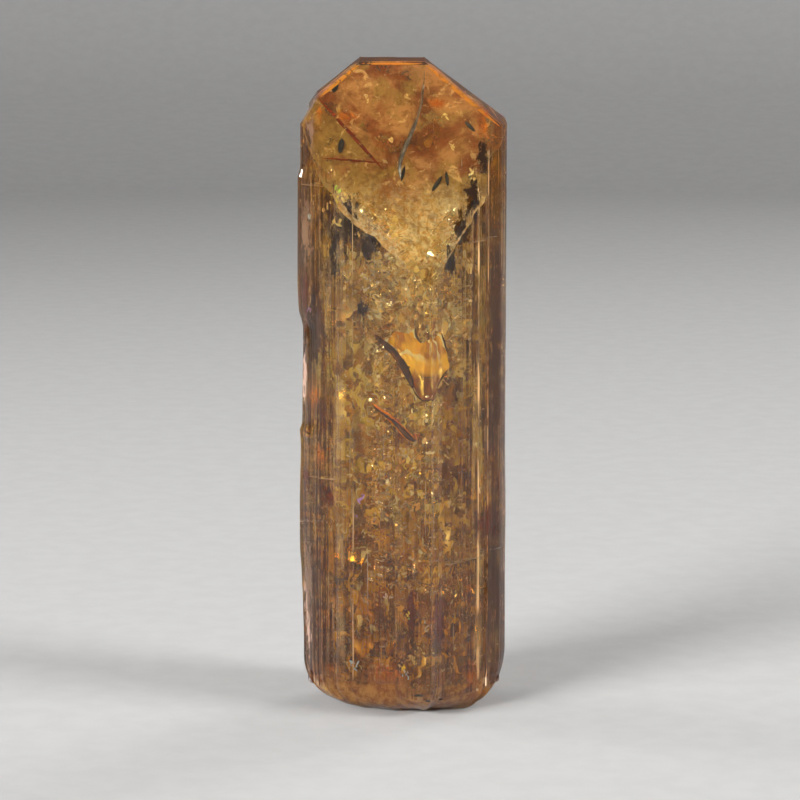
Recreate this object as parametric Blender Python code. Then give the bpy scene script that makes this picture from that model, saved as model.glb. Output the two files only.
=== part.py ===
"""Topaz crystal: a single striated prism that stands on its broken base, with a wedge-shaped
top made by one large steep face in front and three faces behind it.

Axes: +Z runs up the prism, the large steep face looks towards -Y, and the flat of the base lies
at Z = 0. Lengths in the tables below are in millimetres and are turned into metres by MM.
"""

import math
import random

import bmesh
import bpy
from mathutils import Vector

MM = 0.001

# Driving dimensions, in millimetres
HEIGHT = 50.0
COLUMN_STEP = 0.42
PRISM_ROWS = 22
BASE_ROWS = 6
PRISM_OVERRUN = 2.0

# The prism's cross-section, seen from above and read anticlockwise from the front rib. Each short
# side is one growth face of the prism, so the corners are the crystal's lengthwise edges.
FRONT_RIB = (2.07, -7.30)
OUTLINE = (
    FRONT_RIB,
    (2.90, -5.87),
    (5.84, -3.50),
    (6.12, -3.42),
    (6.41, -1.95),
    (6.80, -1.55),
    (7.41, -1.14),
    (7.90, 0.10),
    (7.66, 1.40),
    (6.90, 2.90),
    (6.20, 3.20),
    (4.60, 4.42),
    (1.20, 6.20),
    (-0.40, 7.00),
    (-2.00, 7.30),
    (-3.10, 6.40),
    (-5.30, 4.55),
    (-6.20, 3.40),
    (-6.90, 2.20),
    (-7.70, 1.10),
    (-7.98, 0.00),
    (-7.35, -1.10),
    (-6.34, -2.41),
    (-5.86, -2.78),
    (-5.44, -2.98),
    (-4.98, -3.62),
    (-4.28, -3.86),
    (-0.68, -5.38),
    (-0.09, -6.02),
)

# How far the left edge stands out (+) or is worn back (-) at each height
LEFT_EDGE = (
    (0.0, -0.20),
    (5.0, -0.20),
    (8.5, -0.13),
    (10.0, -0.06),
    (12.5, 0.07),
    (16.0, 0.07),
    (20.6, -0.03),
    (21.4, 0.06),
    (22.2, -0.16),
    (29.5, -0.22),
    (31.0, 0.12),
    (33.0, 0.20),
    (41.2, 0.16),
    (41.8, -0.06),
    (52.0, -0.06),
)
LEFT_EDGE_REACH_DEG = 34.0

# The broken base: by compass direction from +X, how far in from the sides its rounded margin
# reaches, and how high up the sides that margin starts
BASE_MARGIN = (
    (0.0, 2.7, 4.5),
    (45.0, 2.8, 2.8),
    (90.0, 2.4, 2.2),
    (135.0, 2.8, 2.8),
    (180.0, 3.5, 3.6),
    (215.0, 3.1, 2.4),
    (250.0, 3.0, 1.9),
    (286.0, 5.4, 3.0),
    (313.0, 3.5, 2.2),
    (331.0, 2.1, 2.4),
    (345.0, 2.3, 3.4),
    (360.0, 2.7, 4.5),
)
BASE_MIDDLE = Vector((0.9, -0.2))

# Each face of the top: a point on it and its outward direction
FRONT_FACE_SLOPE = 1.88
FRONT_FACE_TOP = Vector((0.0, 1.35, HEIGHT - 0.3))
RIGHT_SHOULDER = Vector((1.55, 2.35, HEIGHT))
LEFT_SHOULDER = Vector((-3.30, 2.35, HEIGHT))
LEFT_CORNER = Vector((-6.60, 1.35, 47.40))
TOP_FACES = (
    (FRONT_FACE_TOP, Vector((0.0, -FRONT_FACE_SLOPE, 1.0))),
    (RIGHT_SHOULDER, Vector((0.0, -0.29, 0.96))),
    (RIGHT_SHOULDER, Vector((0.56, -0.20, 0.80))),
    (LEFT_SHOULDER, Vector((-0.565, -0.20, 0.80))),
    (LEFT_CORNER, Vector((-0.82, -0.15, 0.55))),
    (RIGHT_SHOULDER, Vector((0.0, 0.85, 0.53))),
    (RIGHT_SHOULDER, Vector((0.52, 0.63, 0.573))),
    (LEFT_SHOULDER, Vector((-0.567, 0.609, 0.554))),
)

# The shallow step broken into the left of the front face, as points (x, z) on that face
STEP_TIP = (-2.05, 42.40)
STEP_UPPER_LEFT = (-6.54, 47.14)
STEP_LOWER_LEFT = (-6.34, 42.75)
STEP_TIP_DEPTH = 0.02
STEP_UPPER_DEPTH = 0.42
STEP_LOWER_DEPTH = 0.12
STEP_CLEARANCE = 3.0
STEP_OVERRUN = 1.6

# Lengthwise striae: narrow ribs and grooves along the prism
STRIA_COUNT = 74
STRIA_SEED = 11
STRIA_WIDTH = (0.30, 1.10)
STRIA_HEIGHT = 0.085
STRIA_FADE = 3.0

# Scars of chips knocked off the base and edges: centre and radius of the ball that fits each
CHIP_SCARS = (
    (Vector((-6.3, -4.6, -0.6)), 2.5),
    (Vector((3.6, -7.6, -1.3)), 2.3),
    (Vector((-2.6, -7.9, -1.4)), 2.7),
    (Vector((8.6, 2.2, 0.2)), 2.0),
    (Vector((-4.4, 7.6, -0.6)), 2.9),
    (Vector((3.4, 7.6, -0.9)), 2.4),
    (Vector((8.35, -1.4, 45.7)), 1.15),
    (Vector((-9.0, 1.0, 46.6)), 1.9),
)
FLAT_KEEP_CLEAR = 0.05

TOPAZ_COLOUR = (0.70, 0.40, 0.14, 1.0)
TOPAZ_IOR = 1.62
TOPAZ_ROUGHNESS = 0.06


def clear_scene():
    for obj in list(bpy.data.objects):
        bpy.data.objects.remove(obj)


def eased(value):
    """0 to 1 with a smooth start and end."""
    value = min(1.0, max(0.0, value))
    return value * value * (3.0 - 2.0 * value)


def read_table(table, where):
    """The table's values at this place, changing smoothly from row to row."""
    if where <= table[0][0]:
        return table[0][1:]
    for low, high in zip(table, table[1:]):
        if where <= high[0]:
            share = eased((where - low[0]) / (high[0] - low[0]))
            return tuple(a + (b - a) * share for a, b in zip(low[1:], high[1:]))
    return table[-1][1:]


def outline_columns():
    """(point, outward direction, distance along the outline) for each lengthwise line."""
    corners = [Vector(corner) for corner in OUTLINE]
    columns = []
    travelled = 0.0
    for index, start in enumerate(corners):
        end = corners[(index + 1) % len(corners)]
        before = corners[index - 1]
        side = end - start
        outward = Vector((side.y, -side.x)).normalized()
        side_before = start - before
        outward_before = Vector((side_before.y, -side_before.x)).normalized()
        pieces = max(1, round(side.length / COLUMN_STEP))
        for piece in range(pieces):
            share = piece / pieces
            facing = outward if piece else (outward + outward_before).normalized()
            columns.append((start + side * share, facing, travelled + side.length * share))
        travelled += side.length
    return columns, travelled


def make_striae(outline_length):
    """(place along the outline, half width, height, lowest z, highest z) for each rib or groove."""
    chance = random.Random(STRIA_SEED)
    striae = []
    for _ in range(STRIA_COUNT):
        place = chance.uniform(0.0, outline_length)
        half_width = chance.uniform(*STRIA_WIDTH) / 2
        height = chance.choice((-1.0, 1.0)) * chance.uniform(0.3, 1.0) * STRIA_HEIGHT
        low = chance.uniform(-25.0, 30.0)
        striae.append((place, half_width, height, low, low + chance.uniform(15.0, 50.0)))
    return striae


def stria_relief(striae, outline_length, place, z):
    """How far the striae raise the prism's side at this place and height."""
    relief = 0.0
    for centre, half_width, height, low, high in striae:
        away = abs(place - centre)
        away = min(away, outline_length - away)
        if away < half_width:
            ends = eased((z - low) / STRIA_FADE) * eased((high - z) / STRIA_FADE)
            relief += height * (1.0 - away / half_width) * ends
    return relief


def left_edge_relief(point, z):
    """The wear of the crystal's left edge, fading out round the prism."""
    turn = abs(math.degrees(math.atan2(point.y, -point.x)))
    return read_table(LEFT_EDGE, z)[0] * eased(1.0 - turn / LEFT_EDGE_REACH_DEG)


def prism_and_base():
    """The prism as rings of points from the flat of the base up past the top, in millimetres."""
    columns, outline_length = outline_columns()
    striae = make_striae(outline_length)
    rings = [[] for _ in range(BASE_ROWS + PRISM_ROWS + 1)]
    for point, outward, place in columns:
        direction = math.degrees(math.atan2(point.y, point.x)) % 360.0
        margin_in, margin_up = read_table(BASE_MARGIN, direction)
        inward = (BASE_MIDDLE - point).normalized()
        for row in range(BASE_ROWS + PRISM_ROWS + 1):
            if row <= BASE_ROWS:
                angle = math.pi / 2 * row / BASE_ROWS
                z = margin_up * (1.0 - math.cos(angle))
                set_in = margin_in * (1.0 - math.sin(angle))
            else:
                share = (row - BASE_ROWS) / PRISM_ROWS
                z = margin_up + (HEIGHT + PRISM_OVERRUN - margin_up) * share
                set_in = 0.0
            relief = stria_relief(striae, outline_length, place, z)
            relief += left_edge_relief(point, z)
            x, y = point + outward * relief + inward * set_in
            rings[row].append(Vector((x, y, z)))
    return rings


def carve(point, middle, radius):
    """Moves a point that lies inside the ball straight towards the prism's axis, onto the ball."""
    offset = point - middle
    if offset.length >= radius:
        return point
    inward = Vector((-point.x, -point.y, 0.35 * abs(point.x))).normalized()
    along = offset.dot(inward)
    return point + inward * (-along + math.sqrt(along * along + radius**2 - offset.length_squared))


def grid_mesh(rings):
    """A closed bmesh, in metres, of the rings with flat ends."""
    bm = bmesh.new()
    made = []
    for number, ring in enumerate(rings):
        row = []
        for point in ring:
            if number and point.z > FLAT_KEEP_CLEAR:
                for middle, radius in CHIP_SCARS:
                    point = carve(point, middle, radius)
            row.append(bm.verts.new(point * MM))
        made.append(row)
    count = len(made[0])
    for lower, upper in zip(made, made[1:]):
        for index in range(count):
            following = (index + 1) % count
            bm.faces.new((lower[index], lower[following], upper[following], upper[index]))
    bm.faces.new(list(reversed(made[0])))
    bm.faces.new(made[-1])
    return bm


def cut_face(bm, point, outward):
    """Cuts the solid with a plane, takes away what is outside it and closes the cut."""
    geometry = bm.verts[:] + bm.edges[:] + bm.faces[:]
    cut = bmesh.ops.bisect_plane(
        bm,
        geom=geometry,
        dist=1e-7,
        plane_co=point * MM,
        plane_no=outward,
        clear_outer=True,
    )
    border = [item for item in cut["geom_cut"] if isinstance(item, bmesh.types.BMEdge)]
    bmesh.ops.edgeloop_fill(bm, edges=border)


def on_front_face(place, raised=0.0):
    """The point of the front face at this x and z, moved outwards by raised."""
    x, z = place
    y = FRONT_FACE_TOP.y - (FRONT_FACE_TOP.z - z) / FRONT_FACE_SLOPE
    outward = Vector((0.0, -FRONT_FACE_SLOPE, 1.0)).normalized()
    return Vector((x, y, z)) + outward * raised


def make_step_cutter():
    """A wedge whose underside leaves the step's sunken face and the low walls along its edges."""
    tip = Vector(STEP_TIP)
    upper = tip + (Vector(STEP_UPPER_LEFT) - tip) * STEP_OVERRUN
    lower = tip + (Vector(STEP_LOWER_LEFT) - tip) * STEP_OVERRUN
    bm = bmesh.new()
    for place, sunk in ((tip, STEP_TIP_DEPTH), (upper, STEP_UPPER_DEPTH), (lower, STEP_LOWER_DEPTH)):
        bm.verts.new(on_front_face(place, STEP_CLEARANCE) * MM)
        bm.verts.new(on_front_face(place, -sunk * STEP_OVERRUN) * MM)
    bmesh.ops.convex_hull(bm, input=bm.verts[:])
    cutter = object_from(bm, "step_cutter")
    cutter.hide_render = True
    cutter.display_type = "WIRE"
    return cutter


def object_from(bm, name):
    bmesh.ops.recalc_face_normals(bm, faces=bm.faces[:])
    mesh = bpy.data.meshes.new(name)
    bm.to_mesh(mesh)
    bm.free()
    obj = bpy.data.objects.new(name, mesh)
    bpy.context.scene.collection.objects.link(obj)
    return obj


def centre_on_axis(bm):
    """Moves the crystal so that the Z axis runs through the middle of its bounding box."""
    xs = [vert.co.x for vert in bm.verts]
    ys = [vert.co.y for vert in bm.verts]
    shift = Vector(((min(xs) + max(xs)) / 2, (min(ys) + max(ys)) / 2, 0.0))
    bmesh.ops.translate(bm, vec=-shift, verts=bm.verts[:])
    return -shift


def topaz_material():
    material = bpy.data.materials.new("topaz")
    material.use_nodes = True
    shader = material.node_tree.nodes["Principled BSDF"]
    shader.inputs["Base Color"].default_value = TOPAZ_COLOUR
    shader.inputs["Roughness"].default_value = TOPAZ_ROUGHNESS
    shader.inputs["IOR"].default_value = TOPAZ_IOR
    shader.inputs["Transmission Weight"].default_value = 1.0
    material.diffuse_color = TOPAZ_COLOUR
    return material


def make_crystal():
    bm = grid_mesh(prism_and_base())
    for point, outward in TOP_FACES:
        cut_face(bm, point, outward.normalized())
    shift = centre_on_axis(bm)
    crystal = object_from(bm, "topaz_crystal")
    crystal.data.materials.append(topaz_material())
    cutter = make_step_cutter()
    cutter.location = shift
    step = crystal.modifiers.new("step", "BOOLEAN")
    step.operation = "DIFFERENCE"
    step.solver = "EXACT"
    step.object = cutter
    return crystal


clear_scene()
make_crystal()
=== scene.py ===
"""Looks of the topaz crystal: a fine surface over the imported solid, and what is healed, cracked
and stained inside the clear stone. Lengths are in millimetres in the CAD model's frame, with +Z
up the prism and -Y towards the large steep top face, and are turned into metres by MM."""

import math
import random

import bmesh
import bpy
import numpy as np
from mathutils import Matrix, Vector, noise


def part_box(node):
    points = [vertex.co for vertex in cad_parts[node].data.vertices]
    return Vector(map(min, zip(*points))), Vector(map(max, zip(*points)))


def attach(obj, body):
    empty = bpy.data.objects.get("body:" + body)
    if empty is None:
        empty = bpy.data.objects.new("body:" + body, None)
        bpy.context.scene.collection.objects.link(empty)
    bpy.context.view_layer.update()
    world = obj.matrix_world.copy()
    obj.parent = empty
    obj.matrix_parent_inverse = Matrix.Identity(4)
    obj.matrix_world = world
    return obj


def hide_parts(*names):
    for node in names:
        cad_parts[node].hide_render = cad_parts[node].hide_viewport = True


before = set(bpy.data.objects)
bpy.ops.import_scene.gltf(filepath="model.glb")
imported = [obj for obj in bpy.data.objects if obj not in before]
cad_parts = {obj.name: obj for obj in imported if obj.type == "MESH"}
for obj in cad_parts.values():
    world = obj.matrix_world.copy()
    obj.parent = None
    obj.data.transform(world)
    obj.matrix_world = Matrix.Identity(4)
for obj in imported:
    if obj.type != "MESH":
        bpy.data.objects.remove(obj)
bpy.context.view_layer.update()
cad_low, cad_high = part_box("topaz_crystal")

MM = 0.001
HEIGHT = 50.0
UP = Vector((0.0, 0.0, 1.0))

# The prism's cross-section before it is centred, read anticlockwise from the front rib
OUTLINE = (
    (2.07, -7.30),
    (2.90, -5.87),
    (5.84, -3.50),
    (6.12, -3.42),
    (6.41, -1.95),
    (6.80, -1.55),
    (7.41, -1.14),
    (7.90, 0.10),
    (7.66, 1.40),
    (6.90, 2.90),
    (6.20, 3.20),
    (4.60, 4.42),
    (1.20, 6.20),
    (-0.40, 7.00),
    (-2.00, 7.30),
    (-3.10, 6.40),
    (-5.30, 4.55),
    (-6.20, 3.40),
    (-6.90, 2.20),
    (-7.70, 1.10),
    (-7.98, 0.00),
    (-7.35, -1.10),
    (-6.34, -2.41),
    (-5.86, -2.78),
    (-5.44, -2.98),
    (-4.98, -3.62),
    (-4.28, -3.86),
    (-0.68, -5.38),
    (-0.09, -6.02),
)

# How far the left edge stands out (+) or is worn back (-) at each height
LEFT_EDGE = (
    (0.0, -0.20),
    (5.0, -0.20),
    (8.5, -0.13),
    (10.0, -0.06),
    (12.5, 0.07),
    (16.0, 0.07),
    (20.6, -0.03),
    (21.4, 0.06),
    (22.2, -0.16),
    (29.5, -0.22),
    (31.0, 0.12),
    (33.0, 0.20),
    (41.2, 0.16),
    (41.8, -0.06),
    (52.0, -0.06),
)
LEFT_EDGE_REACH_DEG = 34.0

# The broken base's rounded margin: compass direction from +X, reach inwards, height up the sides
BASE_MARGIN = (
    (0.0, 2.7, 4.5),
    (45.0, 2.8, 2.8),
    (90.0, 2.4, 2.2),
    (135.0, 2.8, 2.8),
    (180.0, 3.5, 3.6),
    (215.0, 3.1, 2.4),
    (250.0, 3.0, 1.9),
    (286.0, 5.4, 3.0),
    (313.0, 3.5, 2.2),
    (331.0, 2.1, 2.4),
    (345.0, 2.3, 3.4),
    (360.0, 2.7, 4.5),
)
BASE_MIDDLE = Vector((0.9, -0.2))

# Each face of the top: a point on it and its outward direction
FRONT_FACE_SLOPE = 1.88
FRONT_FACE_TOP = Vector((0.0, 1.35, HEIGHT - 0.3))
FRONT_FACE_OUTWARD = Vector((0.0, -FRONT_FACE_SLOPE, 1.0)).normalized()
RIGHT_SHOULDER = Vector((1.55, 2.35, HEIGHT))
LEFT_SHOULDER = Vector((-3.30, 2.35, HEIGHT))
LEFT_CORNER = Vector((-6.60, 1.35, 47.40))
TOP_FACES = (
    (FRONT_FACE_TOP, FRONT_FACE_OUTWARD),
    (RIGHT_SHOULDER, Vector((0.0, -0.29, 0.96))),
    (RIGHT_SHOULDER, Vector((0.56, -0.20, 0.80))),
    (LEFT_SHOULDER, Vector((-0.565, -0.20, 0.80))),
    (LEFT_CORNER, Vector((-0.82, -0.15, 0.55))),
    (RIGHT_SHOULDER, Vector((0.0, 0.85, 0.53))),
    (RIGHT_SHOULDER, Vector((0.52, 0.63, 0.573))),
    (LEFT_SHOULDER, Vector((-0.567, 0.609, 0.554))),
)

# The shallow step broken into the left of the front face, as points (x, z) on that face
STEP_TIP = Vector((-2.05, 42.40))
STEP_UPPER_LEFT = Vector((-6.54, 47.14))
STEP_LOWER_LEFT = Vector((-6.34, 42.75))
STEP_UPPER_DEPTH = 0.42
STEP_LOWER_DEPTH = 0.12
STEP_WALL = 0.10

# Lengthwise striae: the coarse ones that the solid has too, then the fine ones
COARSE_STRIAE = {"seed": 11, "count": 74, "width": (0.30, 1.10), "height": (0.3, 0.085), "low": (-25.0, 30.0), "run": (15.0, 50.0)}
FINE_STRIAE = {"seed": 5, "count": 700, "width": (0.08, 0.50), "height": (0.2, 0.026), "low": (-20.0, 45.0), "run": (3.0, 40.0)}
STRIA_FADE = 3.0

# Scars of chips: centre and radius of the ball that fits each
CHIP_SCARS = (
    (Vector((-6.3, -4.6, -0.6)), 2.5),
    (Vector((3.6, -7.6, -1.3)), 2.3),
    (Vector((-2.6, -7.9, -1.4)), 2.7),
    (Vector((8.6, 2.2, 0.2)), 2.0),
    (Vector((-4.4, 7.6, -0.6)), 2.9),
    (Vector((3.4, 7.6, -0.9)), 2.4),
    (Vector((8.35, -1.4, 45.7)), 1.15),
    (Vector((-9.0, 1.0, 46.6)), 1.9),
)
FLAT_KEEP_CLEAR = 0.05

# Resolution of the visible surface
COLUMN_STEP = 0.080
PRISM_ROWS = 84
BASE_ROWS = 12
PRISM_OVERRUN = 2.0
FACE_CELL = 0.34
SHARP_EDGE_DEG = 11.0

# Growth relief of the top faces
TERRACE_COUNT = 9.0
TERRACE_HEIGHT = 0.006
SWELL_HEIGHT = 0.030

# The stone's optics
WITH_INSIDE = True
TOPAZ_IOR = 1.62
TOPAZ_ABSORPTION = (0.89, 0.76, 0.02, 1.0)
TOPAZ_DENSITY = 300.0
CRITICAL_SLANT = 1.0 - math.cos(math.asin(1.0 / TOPAZ_IOR))

# Crackled stone, as shards near the skin: least and most compass direction from +X in degrees,
# least and most height, least and most depth, how many, least and most length, how bright
SHARDS = (
    (-180.0, 180.0, 2.0, 46.0, 0.12, 0.9, 4000, 0.12, 0.9, 0.0),
    (-180.0, 180.0, 2.0, 47.0, 0.8, 3.0, 2600, 0.25, 1.6, 0.0),
    (-125.0, -45.0, 27.5, 39.5, 0.12, 1.6, 2600, 0.20, 1.3, 0.35),
    (-116.0, -56.0, 28.5, 38.0, 0.12, 0.7, 620, 0.6, 2.3, 0.6),
    (-150.0, -112.0, 33.0, 41.5, 0.12, 0.8, 420, 0.25, 1.3, 0.35),
    (-52.0, -36.0, 28.5, 35.0, 0.12, 0.9, 160, 0.4, 1.6, 0.5),
    (-118.0, -70.0, 10.0, 27.5, 0.12, 1.2, 2300, 0.15, 0.9, 0.1),
)
SHARD_SIDES = 8
FLOW_SEED = 7

# Broken layers that follow the skin: name, depth, waviness, noise range from clear to whole, grain
FABRICS = (
    ("streaks", 0.30, 0.10, None, 0.0),
    ("near_fabric", 0.70, 0.35, (0.44, 0.56), 1700.0),
    ("deep_fabric", 2.60, 0.90, (0.36, 0.50), 900.0),
)
# The middle of a painted glow on the front, where the stone is most broken, scaled as in fabric_film
PAINTED_GLOW_MIDDLE = (0.0010, -0.0015, 0.0260)
# Painted highlight bands that run lengthwise: middle x, half width, strength
PAINTED_HIGHLIGHT_BANDS = (
    (-4.65, 0.34, 0.20),
    (-3.70, 0.05, 0.70),
    (5.70, 0.09, 0.90),
    (6.50, 0.06, 0.95),
)
FABRIC_COLUMNS = 150
FABRIC_ROWS = 70

SPARKLES = (
    (-2.95, 32.9, 12, 0.35),
    (-2.04, 33.7, 8, 0.3),
    (4.74, 32.15, 3, 0.2),
    (-1.07, 9.42, 6, 0.2),
    (1.89, 7.5, 4, 0.3),
    (-3.8, 3.9, 3, 0.15),
    (0.30, 3.80, 4, 0.15),
)
# The cloud over the base: share of the reach, and height, of each row
BASE_CLOUD_ROWS = (
    (0.02, 0.7),
    (0.30, 0.7),
    (0.60, 0.7),
    (0.85, 0.7),
    (1.00, 0.7),
    (1.00, 1.1),
    (1.00, 1.6),
    (1.00, 2.2),
    (1.00, 3.0),
    (1.00, 3.8),
)
BASE_CLOUD_COLUMNS = 96
# Cracks with thin-film colours, and gold flecks that are painted highlights: name, colour, then x, z
# and size of each
COLOUR_FLECKS = (
    ("violet_flecks", (0.52, 0.36, 0.95, 1.0), ((-3.13, 16.9, 0.5), (-3.44, 15.6, 0.35), (-6.9, 31.0, 0.4))),
    ("blue_flecks", (0.55, 0.78, 1.0, 1.0), ((-3.77, 3.8, 0.6), (0.45, 3.6, 0.35), (-7.0, 38.0, 0.5))),
    ("yellow_flecks", (1.0, 0.88, 0.10, 1.0), ((0.25, 4.0, 0.4), (0.5, 8.2, 0.35), (-5.06, 39.6, 0.4))),
    ("green_flecks", (0.55, 0.90, 0.12, 1.0), ((-5.06, 40.4, 0.35), (0.62, 8.0, 0.2))),
    ("painted_gold_glints", (1.0, 0.80, 0.32, 1.0), (
        (-2.67, 47.1, 0.5),
        (3.85, 43.5, 0.5),
        (5.27, 41.5, 0.6),
        (3.25, 45.7, 0.5),
        (-5.60, 39.2, 0.6),
        (-4.91, 37.9, 0.7),
        (-4.3, 39.6, 0.5),
        (-3.3, 37.0, 0.4),
        (-0.92, 44.0, 0.4),
        (0.4, 47.2, 0.3),
    )),
)
POCKET_OUTLINE = (
    (-2.00, 29.47),
    (-1.16, 28.76),
    (-0.30, 27.94),
    (0.37, 26.97),
    (0.86, 25.90),
    (1.48, 24.93),
    (1.82, 24.81),
    (2.20, 24.93),
    (2.82, 26.20),
    (3.49, 27.07),
    (3.40, 27.75),
    (3.26, 28.72),
    (2.87, 29.93),
    (2.25, 29.54),
    (1.33, 29.20),
    (1.04, 30.41),
    (0.56, 29.83),
    (-0.49, 29.88),
    (-1.12, 29.25),
)
POCKET_RIM_DEPTH = 0.22
POCKET_DEPTH = 0.45
POCKET_RIMS = (
    (((-2.15, 29.60), (-1.16, 28.76), (-0.30, 27.94), (0.30, 27.05), (0.62, 26.35), (0.86, 25.70)), 0.62),
    (((0.25, 27.35), (0.52, 27.30), (0.66, 27.20)), 0.12),
    (((0.70, 25.95), (1.10, 25.25), (1.60, 24.85), (2.20, 24.90), (2.40, 25.15)), 0.13),
    (((2.40, 25.30), (2.82, 26.20), (3.16, 26.68), (3.49, 27.07)), 0.14),
    (((3.42, 28.20), (3.26, 28.72), (3.10, 29.30), (2.87, 29.98)), 0.18),
    (((1.45, 29.15), (1.10, 29.70), (1.02, 30.45)), 0.20),
    (((1.40, 26.62), (1.85, 26.58), (2.40, 26.66)), 0.06),
)
NEEDLE = ((-2.28, 24.16), (-1.30, 23.45), (-0.30, 22.75), (0.45, 22.05), (1.04, 21.66))
TIP_CRACK = ((1.60, 49.10), (1.50, 47.80), (1.35, 46.60), (0.98, 45.44), (0.45, 44.20), (-0.05, 43.10), (-0.30, 42.20), (-0.25, 41.20))
TIP_CRACK_INWARDS = Vector((-0.22, 1.0, -0.15))
# Steps along the tip crack where short white spindles are painted glints
TIP_PAINTED_GLINTS = (3, 11, 15, 22)
# Painted amber highlights along the steep face's upper edges: the other face, first and last x, width
TOP_RIM_HIGHLIGHTS = (
    (1, -3.2, 1.45, 0.22),
    (2, 1.65, 7.3, 0.32),
    (3, -3.4, -6.4, 0.30),
)
BASAL_CRACKS = (
    (-178.0, -158.0, 40.5, 0.0, 2.2),
    (-56.0, -4.0, 11.9, 0.5, 2.6),
    (20.0, 60.0, 27.0, -0.4, 3.0),
    (100.0, 140.0, 33.5, 0.3, 3.0),
    (150.0, 178.0, 14.0, 0.2, 2.4),
    (70.0, 110.0, 17.5, -0.3, 3.2),
    (-172.0, -150.0, 18.0, 0.1, 1.4),
    (-40.0, -10.0, 36.4, 0.2, 1.2),
)

# Stained cracks, and sheets of painted shade and painted sheen: name, colour, how solid, range from clear
# to whole, then x, z, width, height and depth of each
STAINS = (
    ("red_stain", (0.26, 0.06, 0.018, 1.0), 0.30, (0.56, 0.76), (
        (-7.3, 32.0, 1.0, 6.0, 0.25),
        (0.75, 8.6, 1.3, 7.0, 0.30),
        (2.75, 7.8, 1.8, 6.5, 0.30),
        (6.5, 14.4, 3.0, 5.0, 0.30),
        (-5.5, 16.7, 1.6, 2.4, 0.25),
        (-7.4, 18.0, 1.0, 2.6, 0.2),
    )),
    # Brown sheets: partly stain, partly painted shade left of the steep face and along both sides
    ("brown_stain_and_shade", (0.20, 0.075, 0.015, 1.0), 0.22, (0.55, 0.78), (
        (-4.7, 38.3, 3.2, 6.5, 0.9),
        (-2.6, 36.2, 1.8, 3.4, 0.45),
        (-6.4, 30.0, 2.0, 9.0, 0.35),
        (7.0, 28.0, 1.5, 26.0, 0.30),
        (7.0, 10.0, 1.6, 14.0, 0.30),
        (-6.9, 9.0, 1.2, 14.0, 0.30),
    )),
    # Near-black sheets: partly stain, mostly painted shade either side of the steep face
    ("dark_stain_and_shade", (0.040, 0.017, 0.005, 1.0), 0.60, (0.58, 0.69), (
        (-4.0, 38.0, 2.2, 4.4, 0.40),
        (-2.4, 36.2, 2.0, 3.4, 0.35),
        (-5.1, 35.6, 1.2, 5.5, 0.45),
        (6.1, 42.6, 1.2, 3.6, 0.28),
        (5.3, 40.0, 1.5, 4.2, 0.28),
        (4.4, 37.4, 1.5, 4.2, 0.28),
        (3.6, 35.2, 1.2, 3.6, 0.28),
        (-3.0, 31.5, 1.2, 2.6, 0.50),
        (-6.9, 29.0, 1.2, 7.0, 0.28),
    )),
    # Pink-grey sheets along the left edge: painted sheen of the surface's reflections
    ("painted_pink_sheen", (0.56, 0.38, 0.30, 1.0), 0.40, (0.58, 0.78), (
        (-7.2, 37.2, 1.5, 9.0, 0.22),
        (-7.5, 25.5, 0.6, 7.0, 0.2),
        (-7.2, 9.0, 1.2, 15.0, 0.25),
        (-6.9, 44.5, 0.9, 4.0, 0.22),
    )),
    ("orange_stain", (1.0, 0.42, 0.05, 1.0), 0.22, (0.58, 0.80), (
        (-1.1, 3.0, 4.6, 3.4, 0.4),
        (-6.7, 24.5, 1.4, 4.0, 0.3),
        (-6.2, 20.0, 1.3, 3.0, 0.3),
        (5.2, 2.9, 1.2, 3.4, 0.3),
        (-4.3, 45.6, 2.2, 1.2, 0.35),
        (-6.3, 45.8, 0.9, 2.4, 0.3),
        (6.2, 45.0, 1.2, 3.4, 0.3),
        (2.6, 46.6, 2.6, 1.2, 0.3),
    )),
)
STAIN_ROWS = 16
STAIN_COLUMNS = 8
DASHES = (
    (-5.10, 47.70, 0.9, 0.45, 70.0, 0.5),
    (-4.62, 43.46, 1.3, 0.42, 84.0, 0.5),
    (0.07, 41.45, 1.3, 0.25, 80.0, 0.6),
    (2.63, 40.73, 1.5, 0.35, 62.0, 0.6),
    (3.38, 41.09, 1.3, 0.25, 96.0, 0.6),
    (5.14, 44.86, 1.2, 0.30, -50.0, 0.5),
    (1.29, 2.05, 0.85, 0.20, 4.0, 0.25),
    (1.97, 1.70, 0.45, 0.14, -6.0, 0.25),
    (2.95, 1.55, 0.40, 0.13, 8.0, 0.25),
)
TUBES = 170
SPECKS = 900

# The stage, the lights and the camera, in metres
STAGE_PROFILE = (
    (0.001, 0.0),
    (0.30, 0.0),
    (0.42, 0.0),
    (0.50, 0.015),
    (0.545, 0.045),
    (0.565, 0.09),
    (0.57, 0.15),
)
STAGE_SEGMENTS = 96
# Each softbox: name, place, what it aims at, width and height, spread in degrees, power
SOFTBOXES = (
    ("key", (-0.45, -0.47, 0.20), (0.0, 0.0, 0.030), (0.30, 0.20), 80.0, 4.2),
    ("right", (0.60, -0.25, 0.20), (0.0, 0.0, 0.030), (0.24, 0.20), 80.0, 2.5),
    ("back_right", (0.42, 0.47, 0.22), (0.0, 0.0, 0.030), (0.26, 0.18), 80.0, 0.85),
    ("back_left", (-0.58, 0.25, 0.20), (0.0, 0.0, 0.030), (0.22, 0.20), 80.0, 0.70),
    ("overhead", (0.0, 0.05, 0.80), (0.0, 0.0, 0.02), (0.50, 0.50), 120.0, 0.30),
)
WORLD_COLOUR = (0.24, 0.24, 0.245, 1.0)
CAMERA_AIM = Vector((-0.00016, 0.0, 0.0238))
CAMERA_DISTANCE = 0.257
CAMERA_ELEVATION_DEG = 9.0
CAMERA_LENS = 150.0


def eased(value):
    """0 to 1 with a smooth start and end, for numbers and arrays."""
    value = np.clip(value, 0.0, 1.0)
    return value * value * (3.0 - 2.0 * value)


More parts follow.
